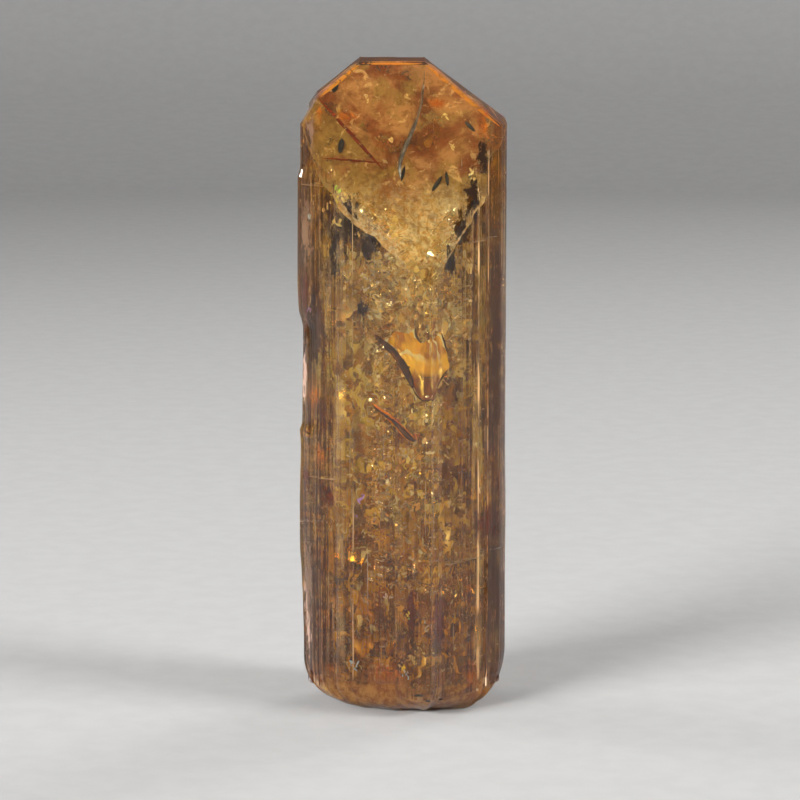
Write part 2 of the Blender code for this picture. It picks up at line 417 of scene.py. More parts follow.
def read_table(table, where):
    """The table's values at this place, changing smoothly from row to row."""
    if where <= table[0][0]:
        return table[0][1:]
    for low, high in zip(table, table[1:]):
        if where <= high[0]:
            share = float(eased((where - low[0]) / (high[0] - low[0])))
            return tuple(a + (b - a) * share for a, b in zip(low[1:], high[1:]))
    return table[-1][1:]


# The visible surface


def outline_columns():
    """(point, outward direction, distance along the outline) for each lengthwise line."""
    corners = [Vector(corner) for corner in OUTLINE]
    columns = []
    travelled = 0.0
    for index, start in enumerate(corners):
        end = corners[(index + 1) % len(corners)]
        side = end - start
        side_before = start - corners[index - 1]
        outward = Vector((side.y, -side.x)).normalized()
        outward_before = Vector((side_before.y, -side_before.x)).normalized()
        pieces = max(1, round(side.length / COLUMN_STEP))
        for piece in range(pieces):
            share = piece / pieces
            facing = outward if piece else (outward + outward_before).normalized()
            columns.append((start + side * share, facing, travelled + side.length * share))
        travelled += side.length
    return columns, travelled


def make_striae(kind, outline_length):
    """(place along the outline, half width, height, lowest z, highest z) for each rib or groove."""
    chance = random.Random(kind["seed"])
    least, most = kind["height"]
    striae = []
    for _ in range(kind["count"]):
        place = chance.uniform(0.0, outline_length)
        half_width = chance.uniform(*kind["width"]) / 2
        height = chance.choice((-1.0, 1.0)) * chance.uniform(least, 1.0) * most
        low = chance.uniform(*kind["low"])
        striae.append((place, half_width, height, low, low + chance.uniform(*kind["run"])))
    return striae


def prism_points():
    """The prism's points by row and column, from the flat of the base up past the top."""
    columns, outline_length = outline_columns()
    count = len(columns)
    rows = BASE_ROWS + PRISM_ROWS + 1
    points = np.array([point[:] for point, _, _ in columns])
    outward = np.array([facing[:] for _, facing, _ in columns])
    places = np.array([place for _, _, place in columns])
    heights = np.zeros((rows, count))
    set_in = np.zeros((rows, count))
    relief = np.zeros((rows, count))
    angles = np.linspace(0.0, math.pi / 2, BASE_ROWS + 1)
    for column, (point, _, _) in enumerate(columns):
        direction = math.degrees(math.atan2(point.y, point.x)) % 360.0
        margin_in, margin_up = read_table(BASE_MARGIN, direction)
        heights[: BASE_ROWS + 1, column] = margin_up * (1.0 - np.cos(angles))
        set_in[: BASE_ROWS + 1, column] = margin_in * (1.0 - np.sin(angles))
        top = HEIGHT + PRISM_OVERRUN
        heights[BASE_ROWS:, column] = np.linspace(margin_up, top, PRISM_ROWS + 1)
        turn = abs(math.degrees(math.atan2(point.y, -point.x)))
        if turn < LEFT_EDGE_REACH_DEG:
            near = eased(1.0 - turn / LEFT_EDGE_REACH_DEG)
            relief[:, column] = [read_table(LEFT_EDGE, z)[0] * near for z in heights[:, column]]
    for kind in (COARSE_STRIAE, FINE_STRIAE):
        for centre, half_width, height, low, high in make_striae(kind, outline_length):
            away = np.abs(places - centre)
            away = np.minimum(away, outline_length - away)
            hit = np.nonzero(away < half_width)[0]
            z = heights[:, hit]
            ends = eased((z - low) / STRIA_FADE) * eased((high - z) / STRIA_FADE)
            relief[:, hit] += height * (1.0 - away[hit] / half_width) * ends
    inward = np.array(BASE_MIDDLE[:]) - points
    inward /= np.linalg.norm(inward, axis=1, keepdims=True)
    flat = points + outward * relief[..., None] + inward * set_in[..., None]
    return np.dstack((flat, heights))


def carve(points, middle, radius):
    """Moves the points inside the ball straight towards the prism's axis, onto the ball."""
    offset = points - np.array(middle)
    distance_squared = (offset**2).sum(axis=-1)
    hit = (distance_squared < radius**2) & (points[..., 2] > FLAT_KEEP_CLEAR)
    hit[0] = False
    inward = np.dstack((-points[..., 0], -points[..., 1], 0.35 * np.abs(points[..., 0])))
    inward /= np.linalg.norm(inward, axis=-1, keepdims=True)
    along = (offset * inward).sum(axis=-1)
    travel = np.sqrt(np.maximum(0.0, along**2 + radius**2 - distance_squared)) - along
    return points + inward * (travel * hit)[..., None]


def prism_bmesh():
    points = prism_points()
    for middle, radius in CHIP_SCARS:
        points = carve(points, middle, radius)
    bm = bmesh.new()
    made = [[bm.verts.new(point) for point in row] for row in points]
    count = len(made[0])
    for lower, upper in zip(made, made[1:]):
        for index in range(count):
            following = (index + 1) % count
            bm.faces.new((lower[index], lower[following], upper[following], upper[index]))
    bm.faces.new(list(reversed(made[0])))
    bm.faces.new(made[-1])
    return bm


def cut_top_face(bm, point, outward):
    """Cuts the solid with a plane, takes away what is outside it and closes the cut."""
    geometry = bm.verts[:] + bm.edges[:] + bm.faces[:]
    cut = bmesh.ops.bisect_plane(
        bm, geom=geometry, dist=1e-4, plane_co=point, plane_no=outward, clear_outer=True
    )
    border = [item for item in cut["geom_cut"] if isinstance(item, bmesh.types.BMEdge)]
    bmesh.ops.edgeloop_fill(bm, edges=border)


def faces_on(bm, point, outward):
    """The faces that lie in this plane."""
    return [
        face
        for face in bm.faces
        if face.normal.dot(outward) > 0.9999 and abs((face.verts[0].co - point).dot(outward)) < 2e-3
    ]


def slice_faces(bm, faces, point, across):
    """Cuts these faces, and nothing else, along the plane through point."""
    edges = {edge for face in faces for edge in face.edges}
    verts = {vert for face in faces for vert in face.verts}
    geometry = list(verts) + list(edges) + list(faces)
    bmesh.ops.bisect_plane(bm, geom=geometry, dist=1e-4, plane_co=point, plane_no=across)


def divide_top_face(bm, point, outward):
    """Cuts a flat top face into small cells, so that it can carry relief."""
    outward = outward.normalized()
    sideways = UP.cross(outward).normalized()
    upwards = outward.cross(sideways)
    for across in (sideways, upwards):
        faces = faces_on(bm, point, outward)
        reach = [(vert.co - point).dot(across) for face in faces for vert in face.verts]
        low, high = min(reach), max(reach)
        cuts = max(1, math.ceil((high - low) / FACE_CELL))
        for cut in range(1, cuts):
            place = low + (high - low) * cut / cuts
            slice_faces(bm, faces_on(bm, point, outward), point + across * place, across)


def on_front_face(place, raised=0.0):
    """The point of the steep front face at this (x, z), moved outwards by raised."""
    y = FRONT_FACE_TOP.y - (FRONT_FACE_TOP.z - place[1]) / FRONT_FACE_SLOPE
    return Vector((place[0], y, place[1])) + FRONT_FACE_OUTWARD * raised


def slice_step_edges(bm):
    """Cuts the front face along the two edges of its broken step and just inside them."""
    for end, turn in ((STEP_UPPER_LEFT, 1.0), (STEP_LOWER_LEFT, -1.0)):
        edge = on_front_face(end) - on_front_face(STEP_TIP)
        into_step = edge.cross(FRONT_FACE_OUTWARD).normalized() * turn
        for inset in (0.0, STEP_WALL):
            point = on_front_face(STEP_TIP) + into_step * inset
            slice_faces(bm, faces_on(bm, FRONT_FACE_TOP, FRONT_FACE_OUTWARD), point, into_step)


def step_depth(point):
    """How deep the broken step is at this point of the front face."""
    tip = on_front_face(STEP_TIP)
    upper = on_front_face(STEP_UPPER_LEFT) - tip
    lower = on_front_face(STEP_LOWER_LEFT) - tip
    offset = point - tip
    below_upper = offset.dot(upper.cross(FRONT_FACE_OUTWARD).normalized())
    above_lower = -offset.dot(lower.cross(FRONT_FACE_OUTWARD).normalized())
    if min(below_upper, above_lower) <= 0.0:
        return 0.0
    reach = offset.length / upper.length
    share = above_lower / (above_lower + below_upper)
    depth = reach * (STEP_UPPER_DEPTH * share + STEP_LOWER_DEPTH * (1.0 - share))
    return depth * float(eased(min(below_upper, above_lower) / STEP_WALL))


def relieve_top_face(bm, point, outward, seed):
    """Gives one flat top face its low growth terraces and swells, and the broken step."""
    outward = outward.normalized()
    verts = {vert for face in faces_on(bm, point, outward) for vert in face.verts}
    centre = Vector((seed * 7.1, seed * 3.7, 0.0))
    moves = []
    for vert in verts:
        swell = noise.noise(vert.co * 0.35 + centre)
        terraces = noise.noise(vert.co * 0.22 - centre) * TERRACE_COUNT
        stepped = math.floor(terraces) + float(eased((terraces % 1.0) * 4.0))
        rise = SWELL_HEIGHT * swell + TERRACE_HEIGHT * stepped
        if outward.dot(FRONT_FACE_OUTWARD) > 0.999:
            rise -= step_depth(vert.co)
        moves.append((vert, rise))
    for vert, rise in moves:
        vert.co += outward * rise


def make_surface():
    """The crystal's whole outer surface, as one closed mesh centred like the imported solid."""
    bm = prism_bmesh()
    for point, outward in TOP_FACES:
        cut_top_face(bm, point, outward.normalized())
    bm.normal_update()
    slice_step_edges(bm)
    for point, outward in TOP_FACES:
        divide_top_face(bm, point, outward)
    for number, (point, outward) in enumerate(TOP_FACES):
        relieve_top_face(bm, point, outward, number)
    xs = [vert.co.x for vert in bm.verts]
    ys = [vert.co.y for vert in bm.verts]
    middle = Vector((min(xs) + max(xs), min(ys) + max(ys), 0.0)) / 2
    cad_middle = (Vector(cad_low) + Vector(cad_high)) / (2 * MM)
    cad_middle.z = 0.0
    shift = cad_middle - middle
    for vert in bm.verts:
        vert.co = (vert.co + shift) * MM
    bmesh.ops.recalc_face_normals(bm, faces=bm.faces[:])
    mesh = bpy.data.meshes.new("crystal_surface")
    bm.to_mesh(mesh)
    bm.free()
    mesh.shade_smooth()
    mesh.set_sharp_from_angle(angle=math.radians(SHARP_EDGE_DEG))
    surface = bpy.data.objects.new("crystal_surface", mesh)
    bpy.context.scene.collection.objects.link(surface)
    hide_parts("topaz_crystal")
    return surface, shift


# Places inside the stone


class Stone:
    """Says where the inside of the crystal is, in millimetres."""

    def __init__(self, shift):
        self.shift = shift
        self.corners = [Vector(corner) + shift.xy for corner in OUTLINE]
        self.sides = list(zip(self.corners, self.corners[1:] + self.corners[:1]))
        self.tops = [(point + shift, outward.normalized()) for point, outward in TOP_FACES]

    def side_y(self, x, front):
        """The Y of the prism's front or back at this x."""
        found = []
        for start, end in self.sides:
            low, high = sorted((start.x, end.x))
            if low <= x <= high and high > low:
                found.append(start.y + (end.y - start.y) * (x - start.x) / (end.x - start.x))
        if not found:
            return 0.0
        return min(found) if front else max(found)

    def front_y(self, x, z, soften=0.0):
        """The Y of the surface that is seen from the front at this x and z."""
        reach = (-soften, 0.0, soften) if soften else (0.0,)
        y = sum(self.side_y(x + step, True) for step in reach) / len(reach)
        face_y = self.tops[0][0].y - (self.tops[0][0].z - z) / FRONT_FACE_SLOPE
        return max(y, face_y)

    def clearance(self, point):
        """How deep the point lies in the stone, or a negative number outside it."""
        flat = point.xy
        nearest = 1e9
        inside = False
        for start, end in self.sides:
            side = end - start
            share = min(1.0, max(0.0, (flat - start).dot(side) / side.length_squared))
            nearest = min(nearest, (start + side * share - flat).length)
            if (start.y > flat.y) != (end.y > flat.y):
                if flat.x < start.x + side.x * (flat.y - start.y) / side.y:
                    inside = not inside
        depth = nearest if inside else -nearest
        depth = min(depth, *((place - point).dot(outward) for place, outward in self.tops))
        margin_in, margin_up = read_table(BASE_MARGIN, math.degrees(math.atan2(flat.y, flat.x)) % 360.0)
        if point.z < margin_up:
            worn = margin_in * (1.0 - math.sqrt(max(0.0, 1.0 - (1.0 - point.z / margin_up) ** 2)))
            depth = min(depth - worn, point.z)
        return depth

    def random_point(self, chance, margin, low=1.0, high=HEIGHT):
        while True:
            point = Vector((chance.uniform(-8, 8), chance.uniform(-7.5, 7.5), chance.uniform(low, high)))
            if self.clearance(point) > margin:
                return point


class Shapes:
    """Collects small shapes, in millimetres, that become one mesh."""

    def __init__(self):
        self.points = []
        self.faces = []
        self.tones = []

    def add_rows(self, rows, closed=False):
        """Joins rows of points with quads. closed also joins each row's end to its start."""
        first = len(self.points)
        wide = len(rows[0])
        for row in rows:
            self.points.extend(row)
        for row in range(len(rows) - 1):
            for index in range(wide if closed else wide - 1):
                following = (index + 1) % wide
                lower = first + row * wide
                self.faces.append((lower + index, lower + following, lower + wide + following, lower + wide + index))

    def add_fan(self, middle, ring):
        first = len(self.points)
        self.points.append(middle)
        self.points.extend(ring)
        wide = len(ring)
        for index in range(wide):
            self.faces.append((first, first + 1 + index, first + 1 + (index + 1) % wide))

    def add_flake(self, chance, centre, facing, length, width, cup, rings=4, segments=14):
        """A cupped shell with a wavy edge, which faces along facing."""
        facing = facing.normalized()
        across = facing.orthogonal().normalized()
        turn = chance.uniform(0.0, math.tau)
        along = across * math.cos(turn) + facing.cross(across) * math.sin(turn)
        across = facing.cross(along)
        edge = [chance.uniform(0.55, 1.0) for _ in range(segments)]
        edge = [(edge[i - 1] + 2 * edge[i] + edge[(i + 1) % segments]) / 4 for i in range(segments)]
        ripple = chance.uniform(0.0, math.tau)

        def point(share, segment):
            angle = math.tau * segment / segments
            reach = share * edge[segment]
            rise = cup * (reach**2 + 0.12 * math.sin(reach * 9.0 + ripple))
            rise += 0.25 * cup * math.sin(2 * angle + ripple) * reach
            place = along * (math.cos(angle) * reach * length / 2)
            return centre + place + across * (math.sin(angle) * reach * width / 2) + facing * rise

        rows = [[point(ring / rings, segment) for segment in range(segments)] for ring in range(1, rings + 1)]
        self.add_fan(centre + facing * (cup * 0.12 * math.sin(ripple)), rows[0])
        self.add_rows(rows, closed=True)

    def add_shard(self, chance, centre, facing, along, length, width, cup, bright=0.0):
        """A small cupped sliver with an uneven edge, which has a tone of its own."""
        facing = facing.normalized()
        along = (along - facing * along.dot(facing)).normalized()
        across = facing.cross(along)
        ring = []
        for segment in range(SHARD_SIDES):
            angle = math.tau * segment / SHARD_SIDES
            reach = chance.uniform(0.65, 1.0)
            x = math.cos(angle) * reach
            y = math.sin(angle) * reach
            rise = cup * (x * x - 0.4) + chance.uniform(-0.1, 0.1) * cup
            ring.append(centre + along * (x * length / 2) + across * (y * width / 2) + facing * rise)
        self.add_fan(centre - facing * (0.4 * cup), ring)
        shade = bright + (1.0 - bright) * chance.random()
        if chance.random() < 0.5 * bright:
            shade = 0.0
        tone = (shade, chance.random(), chance.random(), 1.0)
        self.tones.extend([tone] * (SHARD_SIDES + 1))

    def add_spindle(self, path, width, thickness, facing, sides=6):
        """A solid that tapers to both ends of its path, flattened across facing."""
        rows = []
        last = len(path) - 1
        for index, point in enumerate(path[1:-1], start=1):
            along = (path[index + 1] - path[index - 1]).normalized()
            across = along.cross(facing).normalized()
            normal = across.cross(along).normalized()
            taper = math.sin(math.pi * index / last) ** 0.5
            row = []
            for side in range(sides):
                angle = math.tau * side / sides
                row.append(point + across * (math.cos(angle) * width / 2 * taper) + normal * (math.sin(angle) * thickness / 2 * taper))
            rows.append(row)
        self.add_rows(rows, closed=True)
        self.add_fan(path[0], list(reversed(rows[0])))
        self.add_fan(path[-1], rows[-1])

    def make(self, name, material, smooth=True):
        mesh = bpy.data.meshes.new(name)
        mesh.from_pydata([point * MM for point in self.points], [], self.faces)
        if self.tones:
            tone = mesh.attributes.new("tone", "FLOAT_COLOR", "POINT")
            tone.data.foreach_set("color", [part for value in self.tones for part in value])
        mesh.materials.append(material)
        if smooth:
            mesh.shade_smooth()
        piece = bpy.data.objects.new(name, mesh)
        bpy.context.scene.collection.objects.link(piece)
        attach(piece, "root")
        return piece


# Materials


class Tree:
    """A material's node tree that is built one node at a time."""

    def __init__(self, name):
        self.material = bpy.data.materials.new(name)
        self.material.use_nodes = True
        self.tree = self.material.node_tree
        self.tree.nodes.clear()
        self.output = self.tree.nodes.new("ShaderNodeOutputMaterial")

    def add(self, kind, inputs=None, **settings):
        node = self.tree.nodes.new("ShaderNode" + kind)
        for name, value in settings.items():
            setattr(node, name, value)
        for socket, value in (inputs or {}).items():
            if isinstance(value, bpy.types.NodeSocket):
                self.tree.links.new(value, node.inputs[socket])
            else:
                node.inputs[socket].default_value = value
        return node

    def spread(self, value, from_low, from_high, to_low=0.0, to_high=1.0):
        """The value moved from one range to another, smoothly and without running past its ends."""
        sockets = {0: value, 1: from_low, 2: from_high, 3: to_low, 4: to_high}
        return self.add("MapRange", sockets, interpolation_type="SMOOTHSTEP").outputs[0]

    def math(self, operation, first, second=0.0):
        return self.add("Math", {0: first, 1: second}, operation=operation).outputs[0]

    def noise(self, scale, detail=3.0, stretch=(1.0, 1.0, 1.0), roughness=0.55, distortion=0.0):
        place = self.add("TexCoord").outputs["Object"]
        place = self.add("Mapping", {"Vector": place, "Scale": stretch}).outputs[0]
        sockets = {"Vector": place, "Scale": scale, "Detail": detail, "Roughness": roughness, "Distortion": distortion}
        return self.add("TexNoise", sockets).outputs["Fac"]

    def mix_colour(self, share, first, second):
        sockets = {"Factor": share, 6: first, 7: second}
        return self.add("Mix", sockets, data_type="RGBA").outputs[2]

    def mix_shader(self, share, first, second):
        return self.add("MixShader", {0: share, 1: first, 2: second}).outputs[0]

    def finish(self, surface):
        self.tree.links.new(surface, self.output.inputs["Surface"])
        return self.material


def clear_topaz():
    """Clear golden-brown stone: pinker at the tip, with lengthwise streaks and a rough break."""
    tree = Tree("clear_topaz")
    place = tree.add("TexCoord").outputs["Object"]
    height = tree.add("SeparateXYZ", {0: place}).outputs[2]
    facing = tree.add("SeparateXYZ", {0: tree.add("NewGeometry").outputs["True Normal"]}).outputs[2]
    side = tree.spread(tree.math("ABSOLUTE", facing), 0.25, 0.12)
    broken = tree.spread(facing, -0.12, -0.3)
    streaks = tree.noise(1.0, 1.0, stretch=(9000.0, 9000.0, 260.0))
    hillocks = tree.noise(1500.0, 1.0)
    break_grain = tree.noise(2600.0, 2.0)
    tip = tree.spread(height, 0.036, 0.047)
    foot = tree.spread(height, 0.022, 0.004)
    clouds = tree.noise(260.0, 2.0)
    tint = tree.mix_colour(tip, (1.0, 0.95, 0.76, 1.0), (1.0, 0.86, 0.72, 1.0))
    tint = tree.mix_colour(foot, tint, (0.82, 0.68, 0.50, 1.0))
    tint = tree.mix_colour(tree.spread(clouds, 0.35, 0.75, 0.0, 0.5), tint, (0.95, 0.85, 0.62, 1.0))
    rough = tree.spread(clouds, 0.3, 0.7, 0.012, 0.05)
    rough = tree.add("Mix", {0: broken, 2: rough, 3: 0.22}).outputs[0]
    bump = tree.add("Bump", {"Strength": 0.35, "Distance": 0.00002, "Height": tree.math("MULTIPLY", streaks, side)})
    top = tree.math("SUBTRACT", 1.0, side)
    bump = tree.add("Bump", {"Strength": 0.25, "Distance": 0.00002, "Height": tree.math("MULTIPLY", hillocks, top), "Normal": bump.outputs[0]})
    bump = tree.add("Bump", {"Strength": 0.9, "Distance": 0.0001, "Height": tree.math("MULTIPLY", break_grain, broken), "Normal": bump.outputs[0]})
    sockets = {
        "Base Color": tint,
        "Roughness": rough,
        "IOR": TOPAZ_IOR,
        "Transmission Weight": 1.0,
        "Normal": bump.outputs[0],
    }
    shader = tree.add("BsdfPrincipled", sockets)
    absorb = tree.add("VolumeAbsorption", {"Color": TOPAZ_ABSORPTION, "Density": TOPAZ_DENSITY})
    tree.tree.links.new(absorb.outputs[0], tree.output.inputs["Volume"])
    return tree.finish(shader.outputs[0])


def fracture_film(name, tint, mirror, haze, grain, patches):
    """A crack's film: it mirrors light that comes at a slant, as the stone does at a thin gap,
    is clear where it has healed, and has a little haze. grain is its noise's scale, and patches
    the noise's range from clear to whole."""
    tree = Tree(name)
    healed = tree.spread(tree.noise(grain, 4.0, roughness=0.65, distortion=0.4), *patches)
    slant = tree.add("LayerWeight", {"Blend": 0.5}).outputs["Facing"]
    whole = tree.spread(slant, CRITICAL_SLANT - 0.06, CRITICAL_SLANT + 0.06, 0.10, 1.0)
    glints = tree.add("BsdfGlossy", {"Color": tint, "Roughness": 0.12}).outputs[0]
    milk = tree.add("BsdfTranslucent", {"Color": tint}).outputs[0]
    milk = tree.mix_shader(0.5, milk, tree.add("BsdfDiffuse", {"Color": tint}).outputs[0])
    clear = tree.add("BsdfTransparent").outputs[0]
    film = tree.mix_shader(tree.math("MULTIPLY", whole, mirror), clear, glints)
    film = tree.mix_shader(haze, film, milk)
    return tree.finish(tree.mix_shader(healed, clear, film))


def stain_film(name, colour, body, patches):
    """Iron stain on a crack, and painted shade and painted sheen made as the same film: it colours
    what shines through it, is solid by body, and frays out to its edges. patches is the range, of noise
    and nearness to the middle, from clear to whole."""
    tree = Tree(name)
    near = tree.add("SeparateColor", {0: tree.add("Attribute", attribute_name="tone").outputs["Color"]}).outputs[0]
    torn = tree.noise(1900.0, 5.0, stretch=(1.6, 1.6, 0.6), roughness=0.72)
    patchy = tree.spread(tree.math("ADD", torn, tree.math("MULTIPLY", near, 0.35)), *patches)
    clear = tree.add("BsdfTransparent").outputs[0]
    filtered = tree.add("BsdfTransparent", {"Color": colour}).outputs[0]
    solid = tree.add("BsdfDiffuse", {"Color": colour}).outputs[0]
    film = tree.mix_shader(body, filtered, solid)
    return tree.finish(tree.mix_shader(patchy, clear, film))


def plain_stain(name, colour, body):
    """A thin even stain that frays a little, also used for painted shade and painted highlights."""
    tree = Tree(name)
    torn = tree.spread(tree.noise(2200.0, 3.0, roughness=0.6), 0.34, 0.48)
    filtered = tree.add("BsdfTransparent", {"Color": colour}).outputs[0]
    solid = tree.add("BsdfDiffuse", {"Color": colour}).outputs[0]
    solid = tree.mix_shader(0.4, solid, tree.add("BsdfTranslucent", {"Color": colour}).outputs[0])
    film = tree.mix_shader(body, filtered, solid)
    return tree.finish(tree.mix_shader(torn, tree.add("BsdfTransparent").outputs[0], film))


def solid_inclusion(name, colour, roughness):
    tree = Tree(name)
    shade = tree.mix_colour(tree.spread(tree.noise(2500.0), 0.35, 0.65), colour, [part * 0.45 for part in colour[:3]] + [1.0])
    sockets = {"Base Color": shade, "Roughness": roughness, "Specular IOR Level": 0.1}
    return tree.finish(tree.add("BsdfPrincipled", sockets).outputs[0])


# What is inside the stone


def slanted(chance, least_deg, most_deg, flat_share=0.5):
    """A direction that leans from the line of sight of the front by this many degrees."""
    lean = math.radians(chance.uniform(least_deg, most_deg))
    turn = chance.uniform(0.0, math.tau)
    return Vector((math.sin(lean) * math.cos(turn), -math.cos(lean), math.sin(lean) * math.sin(turn)))


def make_white_sparkles(stone):
    chance = random.Random(4)
    shapes = Shapes()
    for x, z, count, spread in SPARKLES:
        for _ in range(count):
            place_x = chance.gauss(x, spread)
            place_z = chance.gauss(z, spread)
            y = stone.front_y(place_x, place_z) + chance.uniform(0.15, 0.45)
            size = chance.uniform(0.12, 0.5)
            facing = slanted(chance, 20.0, 70.0)
            shapes.add_flake(chance, Vector((place_x, y, place_z)), facing, size, size * 0.6, size * 0.2, rings=2, segments=8)
    return shapes.make("white_sparkles", fracture_film("sparkle_film", (1.0, 1.0, 0.98, 1.0), 1.0, 0.45, 3000.0, (0.20, 0.35)))


def front_path(stone, places, depth, soften=0.0):
    return [Vector((x, stone.front_y(x, z, soften) + depth, z)) for x, z in places]


def spaced(path, steps):
    """Points at even steps of index along a smooth curve through the path's points."""
    curve = []
    ends = [2 * path[0] - path[1]] + path + [2 * path[-1] - path[-2]]
    for index in range(1, len(ends) - 2):
        before, start, end, after = ends[index - 1 : index + 3]
        for step in range(steps):
            t = step / steps
            curve.append(
                0.5 * (2 * start + (end - before) * t + (2 * before - 5 * start + 4 * end - after) * t * t + (3 * start - before - 3 * end + after) * t**3)
            )
    return curve + [path[-1]]


def make_amber_pocket(stone):
    """The iron-stained fracture in the middle of the front, with its dark torn edges."""
    middle = Vector((1.35, 0.0, 27.9))
    shapes = Shapes()
    rings = 10
    outline = spaced([Vector((x, 0.0, z)) for x, z in POCKET_OUTLINE + POCKET_OUTLINE[:1]], 3)[:-1]
    rows = []
    for ring in range(1, rings + 1):
        share = ring / rings
        row = []
        for corner in outline:
            place = middle.lerp(corner, share)
            ripple = 0.05 * math.sin(9.0 * place.x + 5.0 * place.z) * (1.0 if place.z > 28.0 else 0.25)
            depth = POCKET_RIM_DEPTH + POCKET_DEPTH * (1.0 - share**2) + ripple
            row.append(Vector((place.x, stone.front_y(place.x, place.z, 0.5) + depth, place.z)))
        rows.append(row)
    shapes.add_fan(Vector((middle.x, stone.front_y(middle.x, middle.z, 0.5) + POCKET_RIM_DEPTH + POCKET_DEPTH, middle.z)), rows[0])
    shapes.add_rows(rows, closed=True)
    shapes.make("amber_pocket", amber_film())
    rims = Shapes()
    for places, width in POCKET_RIMS:
        path = spaced(front_path(stone, places, POCKET_RIM_DEPTH - 0.03, 0.5), 4)
        rims.add_spindle(path, width, 0.08, Vector((0.0, 1.0, 0.0)))
    rims.make("pocket_rims", solid_inclusion("iron_oxide", (0.065, 0.022, 0.005, 1.0), 0.6))


def amber_film():
    """Amber, with yellow-white folds above and orange-brown below."""
    tree = Tree("amber_film")
    place = tree.add("TexCoord").outputs["Object"]
    height = tree.add("SeparateXYZ", {0: place}).outputs[2]
    low = tree.spread(height, 0.0273, 0.0263)
    folds = tree.noise(620.0, 2.0, stretch=(1.0, 1.0, 0.6), distortion=1.0)
    colour = tree.mix_colour(tree.spread(folds, 0.36, 0.60), (0.46, 0.16, 0.002, 1.0), (0.95, 0.52, 0.014, 1.0))
    colour = tree.mix_colour(low, colour, (0.22, 0.055, 0.001, 1.0))
    swirl = {"Scale": 420.0, "Distortion": 7.0, "Detail": 2.0, "Detail Scale": 1.5, "Vector": place}
    lines = tree.spread(tree.add("TexWave", swirl, bands_direction="DIAGONAL").outputs["Fac"], 0.72, 0.93)
    high = tree.spread(height, 0.0272, 0.0288)
    colour = tree.mix_colour(tree.math("MULTIPLY", lines, high), colour, (1.0, 0.95, 0.55, 1.0))
    filtered = tree.add("BsdfTransparent", {"Color": colour}).outputs[0]
    solid = tree.add("BsdfDiffuse", {"Color": colour}).outputs[0]
    solid = tree.mix_shader(0.3, solid, tree.add("BsdfTranslucent", {"Color": colour}).outputs[0])
    shine = tree.add("BsdfGlossy", {"Color": (1.0, 0.70, 0.15, 1.0), "Roughness": 0.2}).outputs[0]
    return tree.finish(tree.mix_shader(0.10, tree.mix_shader(0.85, filtered, solid), shine))


def make_needle_crack(stone):
    """A slim stained crack in the middle: a dark blade, thickest low down, with orange edges."""
    path = spaced(front_path(stone, NEEDLE, 0.20), 5)
    core = Shapes()
    core.add_spindle(path, 0.20, 0.05, Vector((0.0, 1.0, 0.0)))
    core.add_spindle(path[7:], 0.46, 0.07, Vector((0.0, 1.0, 0.0)))
    core.make("needle_crack_core", solid_inclusion("needle_oxide", (0.060, 0.024, 0.005, 1.0), 0.6))
    halo = Shapes()
    for start, width, drop in ((0, 0.42, 0.10), (5, 0.62, 0.02)):
        places = [point + Vector((0.0, 0.08, drop)) for point in path[start:]]
        halo.add_spindle(places, width, 0.04, Vector((0.0, 1.0, 0.0)), sides=8)
    halo.make("needle_crack_halo", plain_stain("needle_stain", (0.95, 0.36, 0.03, 1.0), 0.65))


def add_inward_sheet(shapes, chance, path, inwards, depth, jitter=0.05, steps=6):
    """A crack that starts at a path and runs into the stone."""
    rows = []
    for step in range(steps + 1):
        share = step / steps
        row = []
        for index, point in enumerate(path):
            end = 1.0 - 0.75 * abs(2.0 * index / (len(path) - 1) - 1.0) ** 3
            place = point + inwards * (depth * share * end)
            row.append(place + Vector([chance.uniform(-jitter, jitter) * share for _ in range(3)]))
        rows.append(row)
    shapes.add_rows(rows)


def make_tip_fracture(stone):
    """The blue-grey curved crack that runs down the steep face, with painted white glints along it."""
    chance = random.Random(2)
    path = [on_front_face(place, -0.04) + stone.shift for place in TIP_CRACK]
    sheet = Shapes()
    add_inward_sheet(sheet, chance, spaced(path, 5), TIP_CRACK_INWARDS.normalized(), 1.1, 0.05)
    sheet.make("tip_fracture", fracture_film("tip_film", (0.60, 0.66, 0.70, 1.0), 0.8, 0.12, 1300.0, (0.35, 0.60)))
    line = Shapes()
    curve = spaced(path, 5)
    line.add_spindle(curve, 0.13, 0.05, FRONT_FACE_OUTWARD)
    line.add_spindle(curve[13:], 0.34, 0.05, FRONT_FACE_OUTWARD)
    line.make("tip_fracture_line", solid_inclusion("grey_film", (0.15, 0.125, 0.085, 1.0), 0.25))
    # Short white spindles on the crack's line: painted highlights
    glints = Shapes()
    for index in TIP_PAINTED_GLINTS:
        glints.add_spindle(curve[index : index + 5], 0.10, 0.03, FRONT_FACE_OUTWARD)
    glints.make("tip_fracture_painted_glints", solid_inclusion("painted_glint_white", (0.82, 0.86, 0.90, 1.0), 0.2))


def edge_point(x, face, raised):
    """The point where the steep front face meets another top face, at this x."""
    point, outward = face
    flat_part = outward.x * (x - point.x) - outward.z * point.z
    at_zero = FRONT_FACE_TOP.y - FRONT_FACE_TOP.z / FRONT_FACE_SLOPE - point.y
    z = -(flat_part + outward.y * at_zero) / (outward.z + outward.y / FRONT_FACE_SLOPE)
    return on_front_face((x, z), raised)


